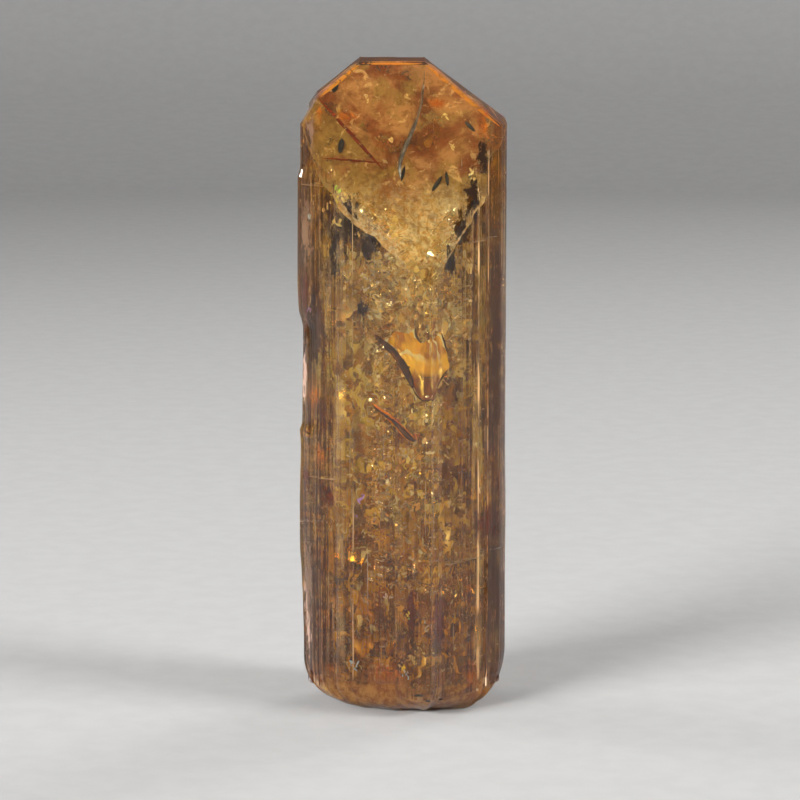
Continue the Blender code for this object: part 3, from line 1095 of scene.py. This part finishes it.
def make_painted_edges(stone):
    """Painted shade of the broken step's walls as red lines, and painted highlights of the top's edges as amber rims.
    """
    # Dark red lines along the broken step's edges: painted shade of the step's walls
    red = Shapes()
    for end, width in ((STEP_UPPER_LEFT, 0.26), (STEP_LOWER_LEFT, 0.16)):
        places = [STEP_TIP.lerp(end, share / 8) for share in range(-1, 9)]
        wobble = [Vector((0.0, 0.07 * math.sin(3.1 * index))) for index in range(len(places))]
        path = [on_front_face(place + shake, -0.20) + stone.shift for place, shake in zip(places, wobble)]
        red.add_spindle(spaced(path, 3), width, 0.05, FRONT_FACE_OUTWARD)
    red.make("step_edge_shade", plain_stain("painted_step_shade", (0.30, 0.05, 0.01, 1.0), 0.7))
    # Amber lines along the top's edges: painted highlights where the edges catch light
    rims = Shapes()
    for number, first, last, width in TOP_RIM_HIGHLIGHTS:
        path = [edge_point(first + (last - first) * step / 12, TOP_FACES[number], -0.30) for step in range(13)]
        path = [point + stone.shift - UP * width * 0.3 for point in path]
        rims.add_spindle(path, width, 0.06, FRONT_FACE_OUTWARD)
    rims.make("top_rim_highlights", plain_stain("painted_rim_highlight", (0.90, 0.48, 0.07, 1.0), 0.7))


def make_basal_cracks(stone):
    """Level cracks along the cleavage, which start at the edges of the prism."""
    chance = random.Random(17)
    shapes = Shapes()
    for start_deg, end_deg, z, rise, depth in BASAL_CRACKS:
        path = []
        for step in range(13):
            angle = math.radians(start_deg + (end_deg - start_deg) * step / 12)
            direction = Vector((math.cos(angle), math.sin(angle), 0.0))
            reach = 9.0
            while stone.clearance(direction * reach + UP * z) < 0.03:
                reach -= 0.03
            path.append(direction * reach + UP * (z + rise * step / 12))
        inwards = -Vector((math.cos(math.radians((start_deg + end_deg) / 2)), math.sin(math.radians((start_deg + end_deg) / 2)), -0.08))
        add_inward_sheet(shapes, chance, path, inwards, depth, 0.03)
    return shapes.make("basal_cracks", fracture_film("basal_film", (1.0, 0.95, 0.88, 1.0), 1.0, 0.30, 1500.0, (0.30, 0.52)))


def make_stains(stone):
    """Iron stain on cracks near the surface, redder low down and at the edges, and sheets of
    painted shade and painted sheen.
    """
    for name, colour, body, patches, places in STAINS:
        shapes = Shapes()
        for x, z, wide, tall, depth in places:
            rows = []
            for row in range(STAIN_ROWS + 1):
                up = 2.0 * row / STAIN_ROWS - 1.0
                line = []
                for column in range(STAIN_COLUMNS + 1):
                    along = 2.0 * column / STAIN_COLUMNS - 1.0
                    place_x = min(7.55, max(-7.65, x + wide / 2 * along))
                    place_z = z + tall / 2 * up
                    line.append(Vector((place_x, stone.front_y(place_x, place_z, 0.3) + depth, place_z)))
                    fall = max(0.0, 1.0 - math.hypot(along, up))
                    shapes.tones.append((fall, fall, fall, 1.0))
                rows.append(line)
            shapes.add_rows(rows)
        shapes.make(name, stain_film(name, colour, body, patches))


def make_dark_dashes(stone):
    """Short dark solid inclusions behind the steep face and at the foot."""
    shapes = Shapes()
    for x, z, length, width, turn_deg, depth in DASHES:
        middle = Vector((x, stone.front_y(x, z) + depth, z))
        turn = math.radians(turn_deg)
        along = Vector((math.cos(turn), 0.0, math.sin(turn)))
        if z > 40.0:
            along = (along - FRONT_FACE_OUTWARD * along.dot(FRONT_FACE_OUTWARD)).normalized()
        path = [middle + along * (length * (step / 6 - 0.5)) for step in range(7)]
        shapes.add_spindle(path, width, 0.06, Vector((0.0, 1.0, 0.0)), sides=6)
    return shapes.make("dark_inclusions", solid_inclusion("dark_mineral", (0.035, 0.03, 0.022, 1.0), 0.4))


def make_growth_tubes(stone):
    """Thin hollow tubes along the prism."""
    chance = random.Random(61)
    shapes = Shapes()
    for _ in range(TUBES):
        margin = chance.choice((0.15, 0.4, 1.2))
        point = stone.random_point(chance, margin, 3.0, 44.0)
        length = chance.uniform(0.8, 6.0)
        path = [point + UP * (length * step / 6) for step in range(7)]
        if stone.clearance(path[-1]) < 0.1:
            continue
        shapes.add_spindle(path, chance.uniform(0.03, 0.09), 0.04, Vector((0.0, 1.0, 0.0)), sides=4)
    return shapes.make("growth_tubes", fracture_film("tube_film", (1.0, 0.96, 0.86, 1.0), 1.0, 0.4, 4000.0, (0.1, 0.3)))


def make_specks(stone):
    """Pinpoint fluid inclusions."""
    chance = random.Random(71)
    shapes = Shapes()
    for _ in range(SPECKS):
        centre = stone.random_point(chance, 0.12)
        radius = chance.uniform(0.015, 0.045)
        ring = [centre + Vector((math.cos(a), math.sin(a), 0.0)) * radius for a in (0.0, 1.57, 3.14, 4.71)]
        shapes.add_fan(centre + UP * radius * 1.6, ring)
        shapes.add_fan(centre - UP * radius * 1.6, list(reversed(ring)))
    return shapes.make("fluid_specks", fracture_film("speck_film", (1.0, 0.97, 0.90, 1.0), 1.0, 0.5, 200.0, (0.0, 0.1)), smooth=False)


def outline_reach(stone, angle):
    """How far the prism's outline is from the axis in this direction."""
    direction = Vector((math.cos(angle), math.sin(angle)))
    best = 0.0
    for start, end in stone.sides:
        side = end - start
        across = direction.x * side.y - direction.y * side.x
        if abs(across) < 1e-9:
            continue
        reach = (start.x * side.y - start.y * side.x) / across
        share = (start.x * direction.y - start.y * direction.x) / across
        if reach > 0.0 and -1e-6 <= share <= 1.0 + 1e-6:
            best = max(best, reach)
    return best


def shard_film(name):
    """Thin broken shards: some shine, some are milky, from brown at the foot to gold above."""
    tree = Tree(name)
    place = tree.add("TexCoord").outputs["Object"]
    height = tree.add("SeparateXYZ", {0: place}).outputs[2]
    tone = tree.add("SeparateColor", {0: tree.add("Attribute", attribute_name="tone").outputs["Color"]})
    bright, milky, solid = tone.outputs[0], tone.outputs[1], tone.outputs[2]
    pale = tree.spread(height, 0.010, 0.034)
    dark = tree.mix_colour(pale, (0.16, 0.055, 0.008, 1.0), (0.26, 0.11, 0.014, 1.0))
    light = tree.mix_colour(pale, (0.85, 0.44, 0.09, 1.0), (1.0, 0.76, 0.28, 1.0))
    colour = tree.mix_colour(tree.spread(bright, 0.1, 0.8), dark, light)
    colour = tree.mix_colour(tree.spread(bright, 0.78, 0.92), colour, (1.0, 0.93, 0.66, 1.0))
    milk = tree.add("BsdfDiffuse", {"Color": colour}).outputs[0]
    milk = tree.mix_shader(0.5, milk, tree.add("BsdfTranslucent", {"Color": colour}).outputs[0])
    glint = tree.add("BsdfGlossy", {"Color": (1.0, 0.88, 0.62, 1.0), "Roughness": 0.12}).outputs[0]
    film = tree.mix_shader(tree.spread(milky, 0.0, 1.0, 0.15, 0.7), milk, glint)
    grain = tree.spread(tree.noise(1500.0, 1.0), 0.32, 0.42)
    cover = tree.math("MULTIPLY", grain, tree.spread(solid, 0.0, 1.0, 0.6, 1.0))
    return tree.finish(tree.mix_shader(cover, tree.add("BsdfTransparent").outputs[0], film))


def hides_pocket(place):
    """Whether a shard here would lie in front of the amber pocket."""
    return place.y < -5.0 and math.hypot(place.x - 1.6, place.z - 27.6) < 2.4


def make_shards(stone):
    """The crackled stone near the skin. Neighbouring shards run the same way, like a fingerprint."""
    chance = random.Random(77)
    noise.seed_set(FLOW_SEED)
    shapes = Shapes()
    reaches = [outline_reach(stone, math.radians(angle)) for angle in range(360)]
    for low_deg, high_deg, low, high, shallow, deep, count, least, most, bright in SHARDS:
        for _ in range(count):
            degrees = chance.uniform(low_deg, high_deg)
            angle = math.radians(degrees)
            outward = Vector((math.cos(angle), math.sin(angle), 0.0))
            length = least * (most / least) ** (chance.random() ** 1.5)
            z = chance.uniform(low, high)
            centre = outward * (reaches[int(degrees) % 360] - chance.uniform(shallow, deep)) + UP * z
            flow = noise.noise_vector(centre * 0.22)
            if noise.noise(centre * 0.35) < chance.uniform(-0.7, 0.3):
                continue
            if stone.clearance(centre) < 0.08 + 0.3 * length or hides_pocket(centre):
                continue
            side = UP.cross(outward)
            turn = chance.gauss(0.0, 0.45) + 3.0 * flow.x
            along = (side * math.cos(turn) + UP * math.sin(turn) + outward * chance.gauss(0.0, 0.3)).normalized()
            lean = chance.gauss(0.0, 0.7)
            facing = outward * math.cos(lean) + along.cross(outward) * math.sin(lean)
            width = length * chance.uniform(0.12, 0.7)
            shapes.add_shard(chance, centre, facing, along, length, width, 0.16 * length, bright)
    return shapes.make("crackled_shards", shard_film("shard_film"))


def step_share(tree, place):
    """1 within the broken step's outline as seen from the front, else 0."""
    axes = tree.add("SeparateXYZ", {0: place})
    inside = []
    for end in (STEP_UPPER_LEFT, STEP_LOWER_LEFT):
        slope = (end.y - STEP_TIP.y) / (end.x - STEP_TIP.x)
        level = tree.math("MULTIPLY", tree.math("SUBTRACT", axes.outputs[0], STEP_TIP.x * MM), slope)
        inside.append(tree.math("SUBTRACT", axes.outputs[2], tree.math("ADD", level, STEP_TIP.y * MM)))
    below = tree.spread(inside[0], 0.0, -0.0001)
    above = tree.spread(inside[1], -0.0002, 0.0002)
    return tree.math("MULTIPLY", below, above)


def face_cloud_film():
    """The soft clouds behind the steep face: peach, red-brown and olive, pale at its tip."""
    tree = Tree("face_cloud")
    place = tree.add("TexCoord").outputs["Object"]
    height = tree.add("SeparateXYZ", {0: place}).outputs[2]
    clouds = tree.spread(tree.noise(300.0, 5.0, distortion=0.6, roughness=0.62), 0.40, 0.60)
    olive = tree.spread(tree.noise(210.0, 5.0, stretch=(1.0, 1.0, 0.7), roughness=0.65), 0.50, 0.60)
    colour = tree.mix_colour(clouds, (0.25, 0.080, 0.026, 1.0), (0.57, 0.31, 0.13, 1.0))
    colour = tree.mix_colour(olive, colour, (0.39, 0.255, 0.08, 1.0))
    colour = tree.mix_colour(step_share(tree, place), colour, (0.36, 0.235, 0.07, 1.0))
    tip = tree.spread(height, 0.0418, 0.0370)
    strokes = tree.spread(tree.noise(1500.0, 5.0, distortion=1.8, roughness=0.65), 0.40, 0.60)
    pale = tree.mix_colour(strokes, (0.74, 0.46, 0.17, 1.0), (1.0, 0.88, 0.60, 1.0))
    colour = tree.mix_colour(tip, colour, pale)
    flecks = tree.spread(tree.noise(850.0, 4.0, distortion=1.0, roughness=0.62), 0.57, 0.64, 0.0, 0.55)
    colour = tree.mix_colour(flecks, colour, (1.0, 0.74, 0.36, 1.0))
    fine = tree.noise(1500.0, 5.0, roughness=0.75)
    colour = tree.mix_colour(tree.spread(fine, 0.46, 0.62, 0.0, 0.5), colour, (0.16, 0.06, 0.02, 1.0))
    milk = tree.add("BsdfDiffuse", {"Color": colour}).outputs[0]
    milk = tree.mix_shader(0.4, milk, tree.add("BsdfTranslucent", {"Color": colour}).outputs[0])
    cover = tree.spread(tree.noise(300.0, 5.0, roughness=0.65), 0.34, 0.52, 0.60, 0.96)
    cover = tree.math("MULTIPLY", cover, tree.spread(height, 0.0338, 0.0356))
    return tree.finish(tree.mix_shader(cover, tree.add("BsdfTransparent").outputs[0], milk))


def shard_place(tree, place):
    """The place, pushed about a little and squeezed lengthwise, so that shards look torn."""
    warp = tree.add("TexNoise", {"Vector": place, "Scale": 900.0, "Detail": 1.0}).outputs["Color"]
    warp = tree.add("VectorMath", {0: warp, 1: (0.5, 0.5, 0.5)}, operation="SUBTRACT").outputs[0]
    warp = tree.add("VectorMath", {0: warp, "Scale": 0.0018}, operation="SCALE").outputs[0]
    warped = tree.add("VectorMath", {0: place, 1: warp}, operation="ADD").outputs[0]
    return tree.add("Mapping", {"Vector": warped, "Scale": (1.0, 1.0, 0.6)}).outputs[0]


def tilted_normal(tree, shard):
    """The surface's direction, turned another way on every shard."""
    tilt = tree.add("VectorMath", {0: shard, 1: (0.5, 0.5, 0.5)}, operation="SUBTRACT").outputs[0]
    tilt = tree.add("VectorMath", {0: tilt, "Scale": 1.3}, operation="SCALE").outputs[0]
    normal = tree.add("NewGeometry").outputs["Normal"]
    normal = tree.add("VectorMath", {0: normal, 1: tilt}, operation="ADD").outputs[0]
    return tree.add("VectorMath", {0: normal}, operation="NORMALIZE").outputs[0]


def fabric_colour(tree, place, height, tone):
    """Brown to gold shards, browner to the foot, palest in a painted glow where the front is most broken."""
    pale = tree.spread(height, 0.003, 0.026)
    dark = tree.mix_colour(pale, (0.20, 0.07, 0.006, 1.0), (0.60, 0.32, 0.03, 1.0))
    light = tree.mix_colour(pale, (1.0, 0.58, 0.06, 1.0), (1.0, 0.82, 0.16, 1.0))
    colour = tree.mix_colour(tree.spread(tone, 0.15, 0.66), dark, light)
    shade = tree.noise(520.0, 1.0, stretch=(1.0, 1.0, 0.5))
    colour = tree.mix_colour(tree.spread(shade, 0.54, 0.64, 0.0, 0.55), colour, (0.12, 0.045, 0.010, 1.0))
    # Painted glow: shards near the middle of the front turn paler
    flat = tree.add("VectorMath", {0: place, 1: (1.0, 0.25, 0.8)}, operation="MULTIPLY").outputs[0]
    away = tree.add("VectorMath", {0: flat, 1: PAINTED_GLOW_MIDDLE}, operation="DISTANCE").outputs["Value"]
    broken = tree.spread(away, 0.0078, 0.0028)
    flakes = tree.math("MULTIPLY", broken, tree.spread(tone, 0.35, 0.75, 0.15, 1.0))
    return tree.mix_colour(flakes, colour, (1.0, 0.93, 0.62, 1.0))


def fabric_film(name, grain, patches, flecked):
    """Densely crackled stone: shards that each shine their own way, with clear gaps between.
    patches is the noise's range from clear to whole, and flecked adds fine pale and dark flecks."""
    tree = Tree(name)
    place = tree.add("TexCoord").outputs["Object"]
    axes = tree.add("SeparateXYZ", {0: place})
    torn = shard_place(tree, place)
    shard = tree.add("TexVoronoi", {"Vector": torn, "Scale": grain}).outputs["Color"]
    tone = tree.add("SeparateColor", {0: shard})
    normal = tilted_normal(tree, shard)
    colour = fabric_colour(tree, place, axes.outputs[2], tone.outputs[0])
    cover = tree.spread(tree.noise(380.0, 2.0, roughness=0.65), *patches)
    if flecked:
        sockets = {"Vector": torn, "Scale": 2300.0, "Detail": 2.0, "Distortion": 0.8}
        flecks = tree.add("TexNoise", sockets).outputs["Fac"]
        colour = tree.mix_colour(tree.spread(flecks, 0.41, 0.36, 0.0, 0.75), colour, (0.07, 0.022, 0.004, 1.0))
        colour = tree.mix_colour(tree.spread(flecks, 0.59, 0.65), colour, (1.0, 0.92, 0.50, 1.0))
        cover = tree.math("MAXIMUM", cover, tree.spread(flecks, 0.58, 0.63, 0.0, 0.7))
    milk = tree.add("BsdfDiffuse", {"Color": colour, "Normal": normal}).outputs[0]
    milk = tree.mix_shader(0.5, milk, tree.add("BsdfTranslucent", {"Color": colour}).outputs[0])
    sockets = {"Color": (1.0, 0.74, 0.34, 1.0), "Roughness": 0.16, "Normal": normal}
    glint = tree.add("BsdfGlossy", sockets).outputs[0]
    passed = tree.mix_colour(0.5, colour, (1.0, 0.92, 0.60, 1.0))
    film = tree.mix_shader(0.65, tree.add("BsdfTransparent", {"Color": passed}).outputs[0], milk)
    film = tree.mix_shader(tree.spread(tone.outputs[1], 0.5, 0.9, 0.06, 0.7), film, glint)
    middle = tree.spread(tree.math("ABSOLUTE", axes.outputs[0]), 0.0062, 0.0040, 0.25, 1.0)
    cover = tree.math("MULTIPLY", cover, middle)
    return tree.finish(tree.mix_shader(cover, tree.add("BsdfTransparent").outputs[0], film))


def make_fabrics(stone):
    """Broken layers that follow the prism's skin all around, at different depths."""
    for number, (name, depth, wave, patches, grain) in enumerate(FABRICS):
        film = fabric_film(name, grain, patches, flecked=depth < 1.0) if patches else streak_film()
        angles = [math.tau * step / FABRIC_COLUMNS for step in range(FABRIC_COLUMNS)]
        reaches = [outline_reach(stone, angle) for angle in angles]
        smooth = [sum(reaches[(i + k) % FABRIC_COLUMNS] for k in range(-3, 4)) / 7 for i in range(FABRIC_COLUMNS)]
        rows = []
        for row in range(FABRIC_ROWS + 1):
            line = []
            for angle, reach in zip(angles, smooth):
                radius = reach - depth
                foot = 1.4 + depth * 0.8
                at = Vector((math.cos(angle), math.sin(angle), 0.0)) * radius
                top = min((face.dot(outward) - at.dot(outward) - depth) / outward.z for face, outward in stone.tops)
                z = foot + (top - foot) * row / FABRIC_ROWS
                seed = Vector((at.x, at.y, z)) * 0.32 + Vector((number * 31.0, 0.0, 0.0))
                push = wave * noise.noise(seed) + 0.35 * wave * noise.noise(seed * 4.0)
                line.append(at * (1.0 - (max(0.0, push + 0.2 * wave)) / radius) + UP * z)
            rows.append(line)
        shapes = Shapes()
        shapes.add_rows(rows, closed=True)
        shapes.make(name, film)


def streak_film():
    """Fine lengthwise streaks: dark brown ones and pale ones, most of them towards both sides,
    with more dark ones at the very sides as painted shade and the pale ones as painted highlights,
    and the few painted highlight bands that run the whole length."""
    tree = Tree("streak_film")
    axes = tree.add("SeparateXYZ", {0: tree.add("TexCoord").outputs["Object"]})
    lines = tree.noise(1.0, 3.0, stretch=(4200.0, 4200.0, 110.0), roughness=0.6)
    # edge and right add dark streaks at both sides and most on the right: painted shade of the prism's edges
    edge = tree.spread(tree.math("ABSOLUTE", axes.outputs[0]), 0.0056, 0.0078, 0.0, 0.07)
    right = tree.spread(axes.outputs[0], 0.0058, 0.0070, 0.0, 0.02)
    dark = tree.spread(tree.math("ADD", lines, tree.math("ADD", edge, right)), 0.50, 0.57)
    # Pale streaks: painted highlights of the striae
    pale = tree.spread(lines, 0.43, 0.38)
    side = tree.spread(tree.math("ABSOLUTE", axes.outputs[0]), 0.0032, 0.0058, 0.12, 0.85)
    foot = tree.spread(axes.outputs[2], 0.024, 0.010, 0.0, 0.42)
    share = tree.math("MAXIMUM", side, foot)
    share = tree.math("MULTIPLY", share, tree.spread(tree.noise(300.0, 3.0), 0.36, 0.58, 0.25, 1.0))
    brown = tree.add("BsdfTransparent", {"Color": (0.30, 0.11, 0.03, 1.0)}).outputs[0]
    brown = tree.mix_shader(0.35, brown, tree.add("BsdfDiffuse", {"Color": (0.06, 0.018, 0.006, 1.0)}).outputs[0])
    # Pale diffuse colour of the painted highlights
    white = tree.add("BsdfDiffuse", {"Color": (0.95, 0.72, 0.46, 1.0)}).outputs[0]
    clear = tree.add("BsdfTransparent").outputs[0]
    film = tree.mix_shader(tree.math("MULTIPLY", dark, share), clear, brown)
    light = tree.math("MULTIPLY", pale, tree.math("MULTIPLY", share, 0.3))
    # A lengthwise noise that breaks up the painted highlight bands
    worn = tree.spread(tree.noise(1.0, 2.0, stretch=(900.0, 900.0, 260.0)), 0.42, 0.56, 0.25, 1.0)
    for middle, half, strength in PAINTED_HIGHLIGHT_BANDS:
        away = tree.math("ABSOLUTE", tree.math("SUBTRACT", axes.outputs[0], middle * MM))
        band = tree.spread(away, half * MM, half * MM * 0.6, 0.0, strength)
        light = tree.math("MAXIMUM", light, tree.math("MULTIPLY", band, worn))
    return tree.finish(tree.mix_shader(light, film, white))


def half_width(stone, y_at, z, side):
    """How far from x = 0.5 a sheet behind the front can reach at this height."""
    x = 0.5
    while stone.clearance(Vector((x + side * 0.05, y_at(x, z), z))) > 0.08:
        x += side * 0.05
    return x


def make_face_cloud(stone):
    """A cloudy layer behind the steep face, as wide as the stone at each height."""

    def y_at(x, z):
        wave = noise.noise(Vector((x * 0.4, z * 0.4, 3.0))) * 0.25 + 0.1 * noise.noise(Vector((x, z, 7.0)) * 1.7)
        return stone.tops[0][0].y - (stone.tops[0][0].z - z) / FRONT_FACE_SLOPE + 0.85 + wave

    rows = []
    for row in range(61):
        z = 34.2 + (49.3 - 34.2) * row / 60
        left = half_width(stone, y_at, z, -1.0)
        right = half_width(stone, y_at, z, 1.0)
        line = [left + (right - left) * column / 60 for column in range(61)]
        rows.append([Vector((x, y_at(x, z), z)) for x in line])
    shapes = Shapes()
    shapes.add_rows(rows)
    shapes.make("face_cloud", face_cloud_film())


def reach_inside(stone, direction, z, margin):
    """How far from the axis a point at this height can be and still lie margin deep."""
    reach = 9.0
    while stone.clearance(direction * reach + UP * z) < margin:
        reach -= 0.05
    return reach


def make_base_cloud(stone):
    """The crackled layer just above the broken base, which turns up along the worn margin."""
    rows = []
    for share, z in BASE_CLOUD_ROWS:
        row = []
        for step in range(BASE_CLOUD_COLUMNS):
            angle = math.tau * step / BASE_CLOUD_COLUMNS
            direction = Vector((math.cos(angle), math.sin(angle), 0.0))
            place = direction * (reach_inside(stone, direction, z, 0.22) * share)
            row.append(place + UP * (z + 0.2 * noise.noise(place * 0.9)))
        rows.append(row)
    shapes = Shapes()
    shapes.add_rows(rows, closed=True)
    shapes.make("base_cloud", base_cloud_film())


def base_cloud_film():
    tree = Tree("base_cloud")
    height = tree.add("SeparateXYZ", {0: tree.add("TexCoord").outputs["Object"]}).outputs[2]
    patches = tree.spread(tree.noise(1300.0, 6.0, roughness=0.72), 0.38, 0.64)
    colour = tree.mix_colour(patches, (0.30, 0.12, 0.022, 1.0), (0.66, 0.37, 0.10, 1.0))
    milk = tree.add("BsdfDiffuse", {"Color": colour}).outputs[0]
    milk = tree.mix_shader(0.4, milk, tree.add("BsdfTranslucent", {"Color": colour}).outputs[0])
    cover = tree.math("MULTIPLY", tree.spread(height, 0.0036, 0.0018), 0.85)
    return tree.finish(tree.mix_shader(cover, tree.add("BsdfTransparent").outputs[0], milk))


def make_colour_flecks(stone):
    """Thin cracks that show the colours of a soap film, and gold ones that are painted highlights."""
    chance = random.Random(19)
    for name, colour, places in COLOUR_FLECKS:
        shapes = Shapes()
        for x, z, size in places:
            for _ in range(4):
                place_x = chance.gauss(x, size * 0.35)
                place_z = chance.gauss(z, size * 0.35)
                centre = Vector((place_x, stone.front_y(place_x, place_z) + chance.uniform(0.12, 0.3), place_z))
                along = Vector((chance.gauss(0.0, 0.6), 0.0, 1.0))
                length = size * chance.uniform(0.5, 1.4)
                width = size * chance.uniform(0.2, 0.6)
                shapes.add_shard(chance, centre, slanted(chance, 5.0, 40.0), along, length, width, 0.05)
        shapes.make(name, plain_stain(name, colour, 0.8))


# The stage


def make_stage():
    """A round pale floor that curves up into a low wall all around."""
    tree = Tree("pale_floor")
    grain = tree.spread(tree.noise(400.0, 2.0), 0.3, 0.7)
    colour = tree.mix_colour(grain, (0.300, 0.297, 0.292, 1.0), (0.312, 0.309, 0.304, 1.0))
    material = tree.finish(tree.add("BsdfDiffuse", {"Color": colour}).outputs[0])
    bm = bmesh.new()
    rows = []
    for radius, height in STAGE_PROFILE:
        turns = [math.tau * step / STAGE_SEGMENTS for step in range(STAGE_SEGMENTS)]
        rows.append([bm.verts.new((radius * math.cos(turn), radius * math.sin(turn), height)) for turn in turns])
    for lower, upper in zip(rows, rows[1:]):
        for index in range(STAGE_SEGMENTS):
            following = (index + 1) % STAGE_SEGMENTS
            bm.faces.new((lower[index], lower[following], upper[following], upper[index]))
    bm.faces.new(rows[0])
    mesh = bpy.data.meshes.new("stage_floor")
    bm.to_mesh(mesh)
    bm.free()
    mesh.shade_smooth()
    mesh.materials.append(material)
    floor = bpy.data.objects.new("stage_floor", mesh)
    bpy.context.scene.collection.objects.link(floor)


def aim(obj, target):
    obj.rotation_euler = (Vector(target) - obj.location).to_track_quat("-Z", "Y").to_euler()


def make_lights():
    for name, place, target, size, spread_deg, power in SOFTBOXES:
        data = bpy.data.lights.new(name, "AREA")
        data.shape = "RECTANGLE"
        data.size, data.size_y = size
        data.spread = math.radians(spread_deg)
        data.energy = power
        light = bpy.data.objects.new(name, data)
        light.location = place
        aim(light, target)
        bpy.context.scene.collection.objects.link(light)
    world = bpy.data.worlds.new("studio")
    world.use_nodes = True
    world.node_tree.nodes["Background"].inputs["Color"].default_value = WORLD_COLOUR
    bpy.context.scene.world = world


def make_camera():
    data = bpy.data.cameras.new("camera")
    data.lens = CAMERA_LENS
    data.sensor_width = 36.0
    data.clip_start = 0.01
    camera = bpy.data.objects.new("camera", data)
    elevation = math.radians(CAMERA_ELEVATION_DEG)
    camera.location = CAMERA_AIM + Vector((0.0, -math.cos(elevation), math.sin(elevation))) * CAMERA_DISTANCE
    aim(camera, CAMERA_AIM)
    bpy.context.scene.collection.objects.link(camera)
    bpy.context.scene.camera = camera


def set_light_paths():
    cycles = bpy.context.scene.cycles
    cycles.max_bounces = 10
    cycles.transmission_bounces = 10
    cycles.glossy_bounces = 4
    cycles.diffuse_bounces = 3
    cycles.transparent_max_bounces = 18
    bpy.context.scene.view_settings.view_transform = "Standard"


def main():
    make_camera()
    make_stage()
    make_lights()
    set_light_paths()
    surface, shift = make_surface()
    surface.data.materials.append(clear_topaz())
    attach(surface, "root")
    stone = Stone(shift)
    if WITH_INSIDE:
        make_fabrics(stone)
        make_shards(stone)
        make_face_cloud(stone)
        make_white_sparkles(stone)
        make_amber_pocket(stone)
        make_needle_crack(stone)
        make_tip_fracture(stone)
        make_painted_edges(stone)
        make_base_cloud(stone)
        make_colour_flecks(stone)
        make_basal_cracks(stone)
        make_stains(stone)
        make_dark_dashes(stone)
        make_growth_tubes(stone)
        make_specks(stone)


main()
